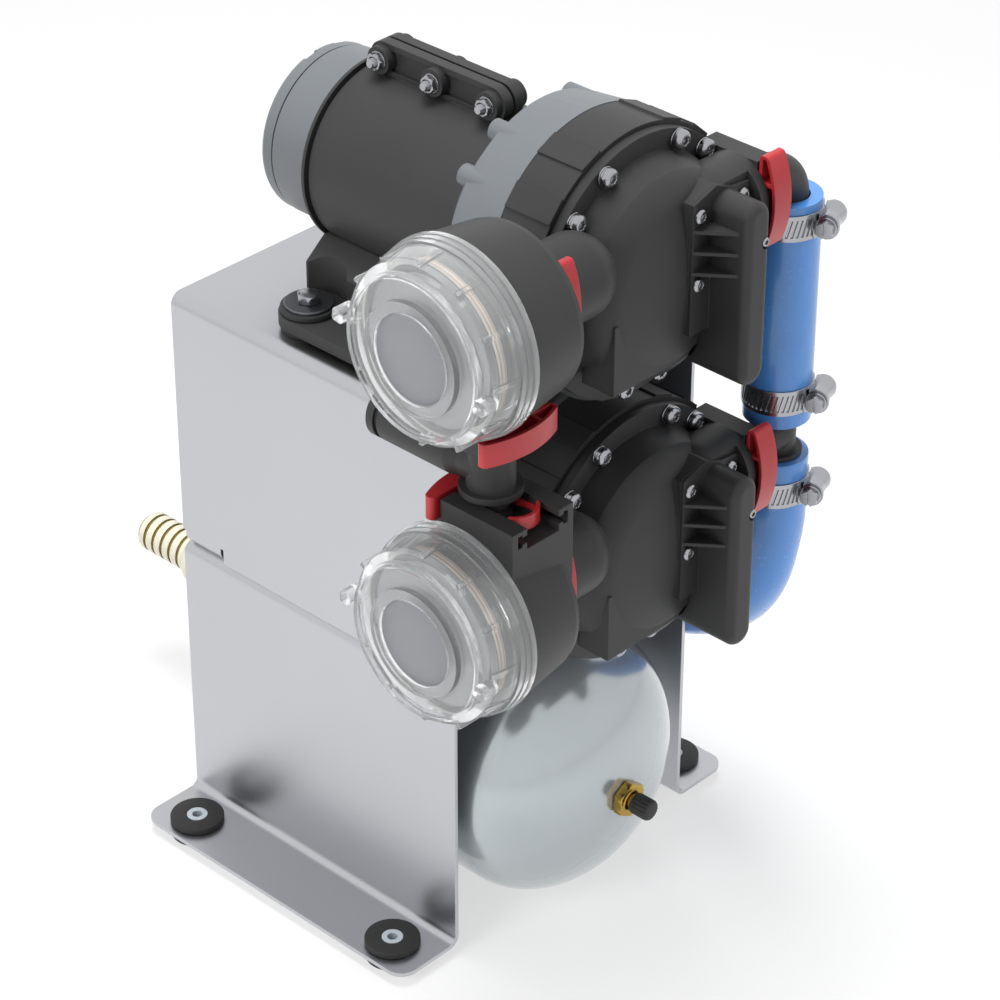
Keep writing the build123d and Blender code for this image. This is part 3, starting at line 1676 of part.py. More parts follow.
def clips():
    for name, deck in pump_decks.items():
        port_z = deck + axis_rise + port_rise
        slide_clip(f"{name}_outlet_clip", outlet_plane(port_z), head_clip_back)
        slide_clip(f"{name}_inlet_clip", inlet_plane(port_z), head_clip_back)
    slide_clip("upper_tee_clip", upper_tee_plane(), tee_clip_back)
    slide_clip("lower_tee_clip", lower_tee_plane(), tee_clip_back)


os.makedirs("parts", exist_ok=True)
lower_bracket()
upper_bracket()
feet()
bracket_fasteners()
mounts()
for name, deck in pump_decks.items():
    motor_jacket(name, deck)
    motor_can(name, deck)
    end_cap(name, deck)
    armature(name, deck)
    rear_housing(name, deck)
    mid_body(name, deck)
    diaphragm(name, deck)
    pump_head(name, deck)
    switch_cover(name, deck)
    strainer_bowl(name, deck)
    strainer_lid(name, deck)
    strainer_seal(name, deck)
    strainer_screen(name, deck)
jacket_fasteners()
motor_bearings()
motor_magnets()
head_screws()
valve_plates()
switch_screws()
port_seals()
inlet_tee()
outlet_elbow()
outlet_tee()
tank_tee()
straight_hose()
curved_hose()
clamps()
tank_shell()
tank_bladder()
air_valve()
clips()
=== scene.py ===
import math
import bmesh
import bpy
from mathutils import Matrix, Vector


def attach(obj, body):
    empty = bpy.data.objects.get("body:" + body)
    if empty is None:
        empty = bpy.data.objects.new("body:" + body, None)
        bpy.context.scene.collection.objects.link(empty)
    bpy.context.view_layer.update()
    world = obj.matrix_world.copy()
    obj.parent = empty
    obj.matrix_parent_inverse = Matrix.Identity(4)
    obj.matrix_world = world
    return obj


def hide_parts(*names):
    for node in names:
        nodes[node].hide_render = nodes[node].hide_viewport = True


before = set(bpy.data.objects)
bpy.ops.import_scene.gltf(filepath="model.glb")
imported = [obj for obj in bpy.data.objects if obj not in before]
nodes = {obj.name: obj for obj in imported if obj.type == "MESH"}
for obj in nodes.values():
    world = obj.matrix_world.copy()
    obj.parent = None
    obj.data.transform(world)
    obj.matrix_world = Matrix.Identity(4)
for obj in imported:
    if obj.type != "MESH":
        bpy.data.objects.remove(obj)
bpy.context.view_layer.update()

mm = 0.001
print("stage: frame loaded,", len(nodes), "nodes")


# Shared ways of making a mesh

def placed(origin, axis, side=None):
    # Local +Z runs along the axis, local +X towards the side.
    z = Vector(axis).normalized()
    x = Vector(side) if side else (Vector((1, 0, 0)) if abs(z.x) < 0.9 else Vector((0, 1, 0)))
    x = (x - z * x.dot(z)).normalized()
    y = z.cross(x)
    turn = Matrix((x, y, z)).transposed().to_4x4()
    return Matrix.Translation(Vector(origin) * mm) @ turn


def ring(radius, height, steps=48, shape=None):
    # One closed loop of points; shape gives a radius factor for each angle.
    points = []
    for i in range(steps):
        a = 2 * math.pi * i / steps
        r = radius * (shape(a) if shape else 1.0)
        points.append(Vector((r * math.cos(a), r * math.sin(a), height)) * mm)
    return points


def skin(bm, matrix, loops, joined=False):
    # Faces between loops of equal count; joined ties the last to the first, else both ends get a cap.
    rows = [[bm.verts.new(matrix @ p) for p in loop] for loop in loops]
    pairs = list(zip(rows, rows[1:]))
    if joined:
        pairs.append((rows[-1], rows[0]))
    for low, high in pairs:
        n = len(low)
        for i in range(n):
            j = (i + 1) % n
            bm.faces.new((low[i], low[j], high[j], high[i]))
    if not joined:
        bm.faces.new(list(reversed(rows[0])))
        bm.faces.new(rows[-1])


def lathe(bm, matrix, profile, steps=48):
    # A closed ring section of (height, radius) pairs, or a solid where it starts and ends on the axis.
    solid = profile[0][1] < 0.01 and profile[-1][1] < 0.01
    if solid:
        skin(bm, matrix, [ring(r, h, steps) for h, r in profile[1:-1]])
    else:
        skin(bm, matrix, [ring(r, h, steps) for h, r in profile], joined=True)


def hexFactor(a):
    # Distance of a hexagon's side from its centre, in units of the inner radius.
    turn = math.pi / 3
    return 1 / math.cos((a + turn / 2) % turn - turn / 2)


def torxFactor(a):
    # Six soft lobes.
    return 1 + 0.13 * math.cos(6 * a)


def hexBlock(bm, matrix, flats, start, end, chamfer=0.5, bore=0.0, steps=72):
    # Hexagon with both ends turned to a cone, as nuts and bolt heads have.
    half = flats / 2
    corner = half * 2 / math.sqrt(3)

    def hexLoop(height, limit):
        return [p if p.xy.length <= limit * mm else
                Vector((p.x * limit * mm / p.xy.length, p.y * limit * mm / p.xy.length, p.z))
                for p in ring(half, height, steps, hexFactor)]

    loops = [
        hexLoop(start, half * 0.95),
        hexLoop(start + chamfer * 0.35, half * 1.03),
        hexLoop(start + chamfer, corner),
        hexLoop(end - chamfer, corner),
        hexLoop(end - chamfer * 0.35, half * 1.03),
        hexLoop(end, half * 0.95),
    ]
    if bore:
        loops += [ring(bore + 0.4, end, steps), ring(bore, end - 0.4, steps),
                  ring(bore, start + 0.4, steps), ring(bore + 0.4, start, steps)]
        skin(bm, matrix, loops, joined=True)
    else:
        skin(bm, matrix, loops)


def threadRod(bm, matrix, radius, start, end, pitch=0.8, steps=32):
    # Thread drawn as close V grooves, with a chamfered tip.
    loops = [ring(radius * 0.9, start, steps)]
    turns = max(1, int((end - start - 0.6) / pitch))
    for i in range(turns):
        z = start + i * pitch
        loops += [ring(radius, z + pitch * 0.15, steps), ring(radius, z + pitch * 0.35, steps),
                  ring(radius * 0.88, z + pitch * 0.75, steps)]
    loops += [ring(radius * 0.95, start + turns * pitch, steps), ring(radius * 0.75, end, steps)]
    skin(bm, matrix, loops)


def torxHead(bm, matrix, radius, base, height, recess, steps=72):
    # Domed head with a six-lobed recess.
    top = base + height
    loops = [ring(radius * 0.95, base, steps), ring(radius, base + height * 0.1, steps),
             ring(radius, base + height * 0.35, steps)]
    for i in range(1, 12):
        t = i / 12
        r = radius * (1 - (1 - recess * 1.3 / radius) * (1 - math.cos(t * math.pi / 2)))
        loops.append(ring(r, base + height * (0.35 + 0.62 * math.sin(t * math.pi / 2)), steps))
    loops.append(ring(recess * 1.22, top - height * 0.02, steps))
    loops.append(ring(recess * 1.06, top - height * 0.04, steps, torxFactor))
    loops.append(ring(recess, top - height * 0.1, steps, torxFactor))
    loops.append(ring(recess * 0.97, top - height * 0.6, steps, torxFactor))
    loops.append(ring(recess * 0.5, top - height * 0.7, steps))
    skin(bm, matrix, loops)


def washerRing(bm, matrix, outer, inner, start, thick, edge=0.2, steps=56):
    # Flat ring with all four edges broken.
    lathe(bm, matrix, [
        (start, inner + edge), (start, outer - edge), (start + edge, outer),
        (start + thick - edge, outer), (start + thick, outer - edge),
        (start + thick, inner + edge), (start + thick - edge, inner), (start + edge, inner),
    ], steps)


def springWasher(bm, matrix, outer, inner, start, thick, steps=44):
    # Split lock washer: a square section swept nearly once round, ends offset.
    gap = math.radians(14)
    slack = 0.12
    loops = []
    for i in range(steps):
        t = i / (steps - 1)
        a = gap / 2 + t * (2 * math.pi - gap)
        lift = start + slack + (t - 0.5) * 0.2
        c, s = math.cos(a), math.sin(a)
        loops.append([Vector((r * c, r * s, z)) * mm for r, z in (
            (inner, lift), (outer, lift),
            (outer, lift + thick - 2 * slack), (inner, lift + thick - 2 * slack))])
    skin(bm, matrix, loops)


def addPiece(name, bm, material, body="pump_set", replaces=(), smoothAngle=35):
    # Turns a finished bmesh into a piece of the scene that rides a body.
    bmesh.ops.remove_doubles(bm, verts=bm.verts, dist=1e-7)
    bmesh.ops.recalc_face_normals(bm, faces=bm.faces)
    mesh = bpy.data.meshes.new(name)
    bm.to_mesh(mesh)
    bm.free()
    piece = bpy.data.objects.new(name, mesh)
    bpy.context.scene.collection.objects.link(piece)
    mesh.materials.append(material)
    for face in mesh.polygons:
        face.use_smooth = True
    mesh.set_sharp_from_angle(angle=math.radians(smoothAngle))
    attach(piece, body)
    if replaces:
        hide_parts(*replaces)
    return piece


# Shader groups that more than one finish uses

def colour(code):
    # Linear values of a six-digit display colour.
    parts = [int(code[i:i + 2], 16) / 255 for i in (0, 2, 4)]
    return [c / 12.92 if c <= 0.04045 else ((c + 0.055) / 1.055) ** 2.4 for c in parts] + [1.0]


def newGroup(name, inputs, outputs):
    # Empty node group with its sockets, and its two end nodes.
    tree = bpy.data.node_groups.new(name, "ShaderNodeTree")
    for label, kind, value in inputs:
        socket = tree.interface.new_socket(label, in_out="INPUT", socket_type=kind)
        socket.default_value = value
    for label, kind in outputs:
        tree.interface.new_socket(label, in_out="OUTPUT", socket_type=kind)
    return tree, tree.nodes.new("NodeGroupInput"), tree.nodes.new("NodeGroupOutput")


def mathNode(tree, operation, *sources):
    # Each source is a socket to link or a plain number.
    node = tree.nodes.new("ShaderNodeMath")
    node.operation = operation
    for socket, source in zip(node.inputs, sources):
        if isinstance(source, (int, float)):
            socket.default_value = source
        else:
            tree.links.new(source, socket)
    return node.outputs[0]


def mixTones(tree, factor, first, second):
    # Each tone is a socket to link or the values of a colour.
    node = tree.nodes.new("ShaderNodeMix")
    node.data_type = "RGBA"
    tree.links.new(factor, node.inputs["Factor"])
    for label, tone in (("A", first), ("B", second)):
        if isinstance(tone, list):
            node.inputs[label].default_value = tone
        else:
            tree.links.new(tone, node.inputs[label])
    return node.outputs["Result"]


def makeMouldedGrain():
    # Fine pebbled texture with a slow drift of tone, as moulded or painted faces have.
    tree, gin, gout = newGroup("mouldedGrain", [
        ("Tone", "NodeSocketColor", (0.1, 0.1, 0.1, 1)),
        ("Second Tone", "NodeSocketColor", (0.12, 0.12, 0.12, 1)),
        ("Drift Scale", "NodeSocketFloat", 18.0),
        ("Grain Scale", "NodeSocketFloat", 1400.0),
        ("Rough Low", "NodeSocketFloat", 0.4),
        ("Rough High", "NodeSocketFloat", 0.5),
    ], [("Color", "NodeSocketColor"), ("Roughness", "NodeSocketFloat"), ("Height", "NodeSocketFloat")])
    n, link = tree.nodes, tree.links.new
    where = n.new("ShaderNodeTexCoord")
    drift = n.new("ShaderNodeTexNoise")
    drift.inputs["Detail"].default_value = 3
    grain = n.new("ShaderNodeTexNoise")
    grain.inputs["Detail"].default_value = 2
    link(where.outputs["Object"], drift.inputs["Vector"])
    link(where.outputs["Object"], grain.inputs["Vector"])
    link(gin.outputs["Drift Scale"], drift.inputs["Scale"])
    link(gin.outputs["Grain Scale"], grain.inputs["Scale"])
    tones = mixTones(tree, drift.outputs["Fac"], gin.outputs["Tone"], gin.outputs["Second Tone"])
    rough = n.new("ShaderNodeMapRange")
    link(grain.outputs["Fac"], rough.inputs["Value"])
    link(gin.outputs["Rough Low"], rough.inputs["To Min"])
    link(gin.outputs["Rough High"], rough.inputs["To Max"])
    link(tones, gout.inputs["Color"])
    link(rough.outputs["Result"], gout.inputs["Roughness"])
    link(grain.outputs["Fac"], gout.inputs["Height"])
    return tree


def makeEdgeSoft():
    # Rounded normal at the edges and a mask of where they are.
    tree, gin, gout = newGroup("edgeSoft", [
        ("Strength", "NodeSocketFloat", 2.0),
        ("Radius", "NodeSocketFloat", 0.0004),
    ], [("Normal", "NodeSocketVector"), ("Mask", "NodeSocketFloat")])
    n, link = tree.nodes, tree.links.new
    soft = n.new("ShaderNodeBevel")
    soft.samples = 4
    flat = n.new("ShaderNodeNewGeometry")
    link(gin.outputs["Radius"], soft.inputs["Radius"])
    dot = n.new("ShaderNodeVectorMath")
    dot.operation = "DOT_PRODUCT"
    link(soft.outputs["Normal"], dot.inputs[0])
    link(flat.outputs["Normal"], dot.inputs[1])
    turned = mathNode(tree, "SUBTRACT", 1.0, dot.outputs["Value"])
    scaled = mathNode(tree, "MULTIPLY", turned, gin.outputs["Strength"])
    scaled.node.use_clamp = True
    link(soft.outputs["Normal"], gout.inputs["Normal"])
    link(scaled, gout.inputs["Mask"])
    return tree


def makeRolledLines():
    # Long faint lines from rolling or brushing, along a chosen direction.
    tree, gin, gout = newGroup("rolledLines", [
        ("Stretch", "NodeSocketVector", (1.0, 1.0, 0.03)),
        ("Scale", "NodeSocketFloat", 900.0),
    ], [("Height", "NodeSocketFloat"), ("Cloud", "NodeSocketFloat")])
    n, link = tree.nodes, tree.links.new
    where = n.new("ShaderNodeTexCoord")
    stretch = n.new("ShaderNodeVectorMath")
    stretch.operation = "MULTIPLY"
    link(where.outputs["Object"], stretch.inputs[0])
    link(gin.outputs["Stretch"], stretch.inputs[1])
    lines = n.new("ShaderNodeTexNoise")
    lines.inputs["Detail"].default_value = 4
    link(stretch.outputs["Vector"], lines.inputs["Vector"])
    link(gin.outputs["Scale"], lines.inputs["Scale"])
    cloud = n.new("ShaderNodeTexNoise")
    cloud.inputs["Scale"].default_value = 9
    link(where.outputs["Object"], cloud.inputs["Vector"])
    link(lines.outputs["Fac"], gout.inputs["Height"])
    link(cloud.outputs["Fac"], gout.inputs["Cloud"])
    return tree


mouldedGrain = makeMouldedGrain()
edgeSoft = makeEdgeSoft()
rolledLines = makeRolledLines()


def startMaterial(name):
    material = bpy.data.materials.new(name)
    material.use_nodes = True
    return material, material.node_tree, material.node_tree.nodes["Principled BSDF"]


def useGroup(tree, group, **values):
    # An underscore in a keyword stands for the space in a socket's name.
    node = tree.nodes.new("ShaderNodeGroup")
    node.node_tree = group
    for label, value in values.items():
        node.inputs[label.replace("_", " ")].default_value = value
    return node


def addBump(tree, bsdf, height, edges, strength, distance):
    # Relief over the softened edges, or over the plain surface where edges is None.
    bump = tree.nodes.new("ShaderNodeBump")
    bump.inputs["Strength"].default_value = strength
    bump.inputs["Distance"].default_value = distance
    tree.links.new(height, bump.inputs["Height"])
    if edges:
        tree.links.new(edges.outputs["Normal"], bump.inputs["Normal"])
    tree.links.new(bump.outputs["Normal"], bsdf.inputs["Normal"])


def grainedMaterial(name, finish):
    # Moulded plastic, rubber and paint share this layout, each with its own values.
    material, tree, bsdf = startMaterial(name)
    grain = useGroup(tree, mouldedGrain, Tone=colour(finish["tone"]), Second_Tone=colour(finish["second"]),
                     Drift_Scale=finish.get("drift", 18.0), Grain_Scale=finish.get("grain", 1400.0),
                     Rough_Low=finish["rough"][0], Rough_High=finish["rough"][1])
    edges = useGroup(tree, edgeSoft, Strength=finish.get("wear", 1.0), Radius=finish.get("edge", 0.0005))
    worn = colour(finish.get("worn", finish["second"]))
    tones = mixTones(tree, edges.outputs["Mask"], grain.outputs["Color"], worn)
    tree.links.new(tones, bsdf.inputs["Base Color"])
    tree.links.new(grain.outputs["Roughness"], bsdf.inputs["Roughness"])
    bsdf.inputs["Metallic"].default_value = finish.get("metallic", 0.0)
    bsdf.inputs["Coat Weight"].default_value = finish.get("coat", 0.0)
    bsdf.inputs["Coat Roughness"].default_value = finish.get("coatRough", 0.08)
    bsdf.inputs["Specular IOR Level"].default_value = finish.get("specular", 0.5)
    addBump(tree, bsdf, grain.outputs["Height"], edges,
            finish.get("bump", 0.25), finish.get("depth", 0.00008))
    return material


def metalMaterial(name, finish):
    # Bare or plated metal: rolled lines set its gloss, a slow cloud its tone.
    material, tree, bsdf = startMaterial(name)
    lines = useGroup(tree, rolledLines,
                     Stretch=finish.get("stretch", (1, 1, 1)), Scale=finish.get("scale", 900.0))
    edges = useGroup(tree, edgeSoft, Strength=finish.get("wear", 1.0), Radius=finish.get("edge", 0.0004))
    tones = mixTones(tree, lines.outputs["Cloud"], colour(finish["tone"]), colour(finish["second"]))
    worn = colour(finish.get("worn", finish["second"]))
    tree.links.new(mixTones(tree, edges.outputs["Mask"], tones, worn), bsdf.inputs["Base Color"])
    rough = tree.nodes.new("ShaderNodeMapRange")
    rough.inputs["To Min"].default_value = finish["rough"][0]
    rough.inputs["To Max"].default_value = finish["rough"][1]
    tree.links.new(lines.outputs["Height"], rough.inputs["Value"])
    tree.links.new(rough.outputs["Result"], bsdf.inputs["Roughness"])
    bsdf.inputs["Metallic"].default_value = finish.get("metallic", 1.0)
    addBump(tree, bsdf, lines.outputs["Height"], edges,
            finish.get("bump", 0.15), finish.get("depth", 0.00005))
    return material


satinSheet = metalMaterial("satinSheet", {
    "tone": "BEBFC3", "second": "C5C6CA", "worn": "D2D3D6", "rough": (0.3, 0.38),
    "stretch": (1.0, 0.04, 1.0), "scale": 1500.0, "bump": 0.12, "edge": 0.0006})
brightSteel = metalMaterial("brightSteel", {
    "tone": "A4A5A9", "second": "AFB0B3", "worn": "CFD0D2", "rough": (0.2, 0.3),
    "scale": 900.0, "bump": 0.02, "edge": 0.0002, "wear": 0.4})
clampSteel = metalMaterial("clampSteel", {
    "tone": "A8A9AD", "second": "B0B1B5", "worn": "CFD0D2", "rough": (0.2, 0.28),
    "scale": 600.0, "bump": 0.01, "edge": 0.0001, "wear": 0.3})
brassFinish = metalMaterial("brassFinish", {
    "tone": "A88A42", "second": "B8984C", "worn": "D2B878", "rough": (0.16, 0.28),
    "scale": 800.0, "bump": 0.03, "edge": 0.0003, "wear": 0.5})
rotorSteel = metalMaterial("rotorSteel", {
    "tone": "8C8782", "second": "9A958E", "worn": "B8B2A8", "rough": (0.35, 0.55),
    "stretch": (1.0, 8.0, 1.0), "scale": 300.0, "bump": 0.3})
screenMesh = metalMaterial("screenMesh", {
    "tone": "8E9092", "second": "A0A2A4", "worn": "C0C0C0", "rough": (0.35, 0.5),
    "scale": 500.0, "bump": 0.2})
charcoalPlastic = grainedMaterial("charcoalPlastic", {
    "tone": "2E2E2E", "second": "343434", "worn": "4A4A4A", "rough": (0.42, 0.54),
    "grain": 1500.0, "bump": 0.3, "wear": 0.7, "edge": 0.0007, "specular": 0.35})
motorGrey = grainedMaterial("motorGrey", {
    "tone": "62666A", "second": "6A6E72", "worn": "868A8E", "rough": (0.32, 0.42),
    "grain": 1200.0, "bump": 0.2, "wear": 0.6, "edge": 0.0007})
tankPaint = grainedMaterial("tankPaint", {
    "tone": "B2B9BC", "second": "B7BEC1", "worn": "C4CACC", "rough": (0.16, 0.22),
    "grain": 260.0, "bump": 0.03, "coat": 0.6, "coatRough": 0.04, "edge": 0.0006, "metallic": 0.6})
redClip = grainedMaterial("redClip", {
    "tone": "AC262C", "second": "B42C32", "worn": "C8585A", "rough": (0.26, 0.36),
    "grain": 900.0, "bump": 0.12, "wear": 0.7, "edge": 0.0006})
blueHose = grainedMaterial("blueHose", {
    "tone": "4A8AD6", "second": "5090DA", "worn": "7CAEE6", "rough": (0.22, 0.3),
    "grain": 300.0, "bump": 0.0, "coat": 0.4, "edge": 0.0001, "wear": 0.0})
blackRubber = grainedMaterial("blackRubber", {
    "tone": "1E1E1E", "second": "262626", "worn": "343434", "rough": (0.5, 0.65),
    "grain": 1100.0, "bump": 0.35, "edge": 0.0006})
blackPlastic = grainedMaterial("blackPlastic", {
    "tone": "161616", "second": "1C1C1C", "worn": "3A3A3A", "rough": (0.28, 0.4),
    "grain": 900.0, "edge": 0.0003})
sleeveGrey = grainedMaterial("sleeveGrey", {
    "tone": "B4BCC2", "second": "BEC6CC", "worn": "D8DEE2", "rough": (0.25, 0.4), "metallic": 0.3,
    "grain": 900.0, "edge": 0.0004})
ferrite = grainedMaterial("ferrite", {
    "tone": "4A4A4C", "second": "525254", "rough": (0.5, 0.7), "grain": 800.0})


def makeCream():
    # Cream tail whose turned grooves show a gold film.
    finish = {"tone": "CFCAB8", "second": "D8D3C2", "gold": "7A6A34", "axis": (-0.004, 0.0, 0.071),
              "grooveR": 0.0101, "start": 0.17}
    material = grainedMaterial("creamPlastic", {
        "tone": finish["tone"], "second": finish["second"], "worn": "E2DECE", "rough": (0.3, 0.42),
        "grain": 900.0, "bump": 0.12, "edge": 0.0004})
    tree = material.node_tree
    bsdf = tree.nodes["Principled BSDF"]
    plain = bsdf.inputs["Base Color"].links[0].from_socket
    where = tree.nodes.new("ShaderNodeTexCoord")
    offset = tree.nodes.new("ShaderNodeVectorMath")
    offset.operation = "SUBTRACT"
    offset.inputs[1].default_value = finish["axis"]
    tree.links.new(where.outputs["Object"], offset.inputs[0])
    flat = tree.nodes.new("ShaderNodeVectorMath")
    flat.operation = "MULTIPLY"
    flat.inputs[1].default_value = (1, 0, 1)
    tree.links.new(offset.outputs[0], flat.inputs[0])
    radius = tree.nodes.new("ShaderNodeVectorMath")
    radius.operation = "LENGTH"
    tree.links.new(flat.outputs[0], radius.inputs[0])
    along = tree.nodes.new("ShaderNodeSeparateXYZ")
    tree.links.new(where.outputs["Object"], along.inputs[0])
    deep = mathNode(tree, "LESS_THAN", radius.outputs["Value"], finish["grooveR"])
    back = mathNode(tree, "GREATER_THAN", along.outputs["Y"], finish["start"])
    groove = mathNode(tree, "MULTIPLY", deep, back)
    tree.links.new(mixTones(tree, groove, plain, colour(finish["gold"])), bsdf.inputs["Base Color"])
    return material


def makeClear():
    # Clear lid, polished and a little milky; its frosted window is a piece of its own.
    finish = {"tone": "F6F8F9", "second": "FBFCFC", "drift": 30.0, "grain": 500.0, "rough": (0.02, 0.05),
              "clear": 0.86, "ior": 1.38, "bump": 0.05, "depth": 0.00005}
    material, tree, bsdf = startMaterial("clearPlastic")
    bsdf.inputs["Base Color"].default_value = colour(finish["tone"])
    bsdf.inputs["Transmission Weight"].default_value = finish["clear"]
    bsdf.inputs["IOR"].default_value = finish["ior"]
    grain = useGroup(tree, mouldedGrain, Tone=colour(finish["tone"]), Second_Tone=colour(finish["second"]),
                     Drift_Scale=finish["drift"], Grain_Scale=finish["grain"],
                     Rough_Low=finish["rough"][0], Rough_High=finish["rough"][1])
    tree.links.new(grain.outputs["Color"], bsdf.inputs["Base Color"])
    tree.links.new(grain.outputs["Roughness"], bsdf.inputs["Roughness"])
    addBump(tree, bsdf, grain.outputs["Height"], None, finish["bump"], finish["depth"])
    return material


def makeSeal():
    # Seal ring: two thin tan lines on a pale ring, seen through the lid.
    finish = {"pale": "BDB8B0", "tan": "A98058", "lines": (-0.1424, -0.1406), "half": 0.00035}
    material = grainedMaterial("sealRubber", {
        "tone": finish["pale"], "second": "C6C1B9", "worn": "D4CFC8", "rough": (0.4, 0.5), "grain": 900.0})
    tree = material.node_tree
    bsdf = tree.nodes["Principled BSDF"]
    base = bsdf.inputs["Base Color"].links[0].from_socket
    where = tree.nodes.new("ShaderNodeTexCoord")
    along = tree.nodes.new("ShaderNodeSeparateXYZ")
    tree.links.new(where.outputs["Object"], along.inputs[0])
    for place in finish["lines"]:
        near = mathNode(tree, "COMPARE", along.outputs["X"], place, finish["half"])
        base = mixTones(tree, near, base, colour(finish["tan"]))
    tree.links.new(base, bsdf.inputs["Base Color"])
    return material


creamPlastic = makeCream()
clearPlastic = makeClear()
sealRubber = makeSeal()
frostedPane = grainedMaterial("frostedPane", {
    "tone": "808185", "second": "86878B", "worn": "949598", "rough": (0.42, 0.6),
    "grain": 2600.0, "bump": 0.5, "depth": 0.00006, "edge": 0.0003})
washerSteel = metalMaterial("washerSteel", {
    "tone": "6E7074", "second": "787A7E", "worn": "96989C", "rough": (0.34, 0.46),
    "scale": 1200.0, "bump": 0.15, "edge": 0.0004})
print("stage: finishes made")

# Finishes of the CAD nodes by name, then by ending; replaced nodes have theirs too.
nodeFinish = {
    "lower_bracket": satinSheet, "upper_bracket": satinSheet,
    "foot_grommets": blackRubber, "foot_sleeves": sleeveGrey, "mount_grommets": blackRubber,
    "mount_washers": brightSteel, "motor_bearings": brightSteel, "motor_magnets": ferrite,
    "tank_shell": tankPaint, "tank_bladder": blackRubber, "air_valve": brassFinish,
    "valve_cap": blackPlastic, "tank_tee": creamPlastic, "port_seals": blackRubber,
    "straight_hose": blueHose, "curved_hose": blueHose, "clamp_bands": brightSteel,
    "clamp_screws": brightSteel, "bracket_fasteners": brightSteel, "mount_bolts": brightSteel,
    "jacket_fasteners": brightSteel, "head_screws": brightSteel, "switch_screws": brightSteel,
    "valve_plates": charcoalPlastic,
}
endings = {
    "_clip": redClip, "_strainer_lid": clearPlastic, "_strainer_seal": sealRubber,
    "_strainer_screen": screenMesh, "_armature": rotorSteel, "_diaphragm": blackRubber,
    "_motor_can": motorGrey, "_end_cap": motorGrey, "_rear_housing": motorGrey,
}
for nodeName, piece in nodes.items():
    finish = nodeFinish.get(nodeName)
    if not finish:
        finish = next((v for k, v in endings.items() if nodeName.endswith(k)), charcoalPlastic)
    piece.data.materials.clear()
    piece.data.materials.append(finish)
print("stage: finishes placed")


# Fasteners

motorAxes = {"lower": 215.5, "upper": 351.5}

headScrew = {"circle": 57.0, "angles": (48, 68, 115, 139, 201, 259, 281, 339), "seatY": -124.5,
             "headR": 4.5, "headSeat": 1.85, "height": 3.1, "recess": 1.75,
             "washerR": 4.6, "washerBore": 2.6, "washer": 0.8,
             "springR": 4.3, "springBore": 2.7, "spring": 1.1}
bm = bmesh.new()
for axisZ in motorAxes.values():
    for angle in headScrew["angles"]:
        x = headScrew["circle"] * math.cos(math.radians(angle))
        z = axisZ + headScrew["circle"] * math.sin(math.radians(angle))
        # Heads stand turned at odds with one another, here and below.
        spot = placed((x, headScrew["seatY"], z), (0, -1, 0)) @ Matrix.Rotation(angle * 0.7, 4, "Z")
        washerRing(bm, spot, headScrew["washerR"], headScrew["washerBore"], 0.0, headScrew["washer"])
        springWasher(bm, spot, headScrew["springR"], headScrew["springBore"], headScrew["washer"],
                     headScrew["spring"])
        torxHead(bm, spot, headScrew["headR"], headScrew["headSeat"], headScrew["height"],
                 headScrew["recess"])
addPiece("headScrews", bm, brightSteel, replaces=["head_screws"])

coverScrew = {"spots": ((5.3, 31.7), (5.3, -0.8), (32.9, 31.8), (33.6, -6.0)), "seatY": -151.8,
              "headR": 3.4, "height": 2.3, "recess": 1.4,
              "adjuster": (25.8, 18.7), "adjusterY": -169.6, "adjusterR": 2.3, "adjusterHigh": 2.5,
              "adjusterRecess": 1.1}
bm = bmesh.new()
for axisZ in motorAxes.values():
    for i, (x, rise) in enumerate(coverScrew["spots"]):
        spot = placed((x, coverScrew["seatY"], axisZ + rise), (0, -1, 0)) @ Matrix.Rotation(i * 0.9, 4, "Z")
        torxHead(bm, spot, coverScrew["headR"], 0.0, coverScrew["height"], coverScrew["recess"])
    x, rise = coverScrew["adjuster"]
    spot = placed((x, coverScrew["adjusterY"], axisZ + rise), (0, -1, 0))
    torxHead(bm, spot, coverScrew["adjusterR"], 0.0, coverScrew["adjusterHigh"],
             coverScrew["adjusterRecess"])
addPiece("coverScrews", bm, brightSteel, replaces=["switch_screws"])

jacketScrew = {"ys": (-42.5, -9.5, 23.5), "rise": 50.5, "reach": 9.5, "headR": 4.4, "height": 2.9,
               "recess": 1.7, "washerR": 4.6, "washerBore": 2.6, "washer": 0.5,
               "nutFlats": 7.6, "nutEnd": 3.3, "nutBore": 2.5, "studR": 2.3, "stud": (0.2, 5.6)}
bm = bmesh.new()
for axisZ in motorAxes.values():
    for y in jacketScrew["ys"]:
        left = placed((-jacketScrew["reach"], y, axisZ + jacketScrew["rise"]), (-1, 0, 0))
        left = left @ Matrix.Rotation(y * 0.3, 4, "Z")
        washerRing(bm, left, jacketScrew["washerR"], jacketScrew["washerBore"], 0.0, jacketScrew["washer"])
        hexBlock(bm, left, jacketScrew["nutFlats"], jacketScrew["washer"], jacketScrew["nutEnd"],
                 bore=jacketScrew["nutBore"])
        threadRod(bm, left, jacketScrew["studR"], *jacketScrew["stud"], pitch=0.6)
        right = placed((jacketScrew["reach"], y, axisZ + jacketScrew["rise"]), (1, 0, 0))
        torxHead(bm, right, jacketScrew["headR"], 0.0, jacketScrew["height"], jacketScrew["recess"])
addPiece("jacketScrews", bm, brightSteel, replaces=["jacket_fasteners"])

mountBolt = {"spots": [(a * 57.0, b) for a in (-1, 1) for b in (-40.0, 22.0)],
             "decks": (151.0, 287.0), "seat": 13.5, "sheet": 2.0, "saddle": 3.0,
             "flats": 10.0, "head": 4.0, "nut": 5.0, "bore": 3.0, "studR": 2.95, "stud": (0.3, 6.0),
             "tabs": [(a * 64.0, b * 76.0) for a in (-1, 1) for b in (-1, 1)],
             "saddles": [(-4.0 + a * 26.0, b) for a in (-1, 1) for b in (-66.0, 50.0)]}


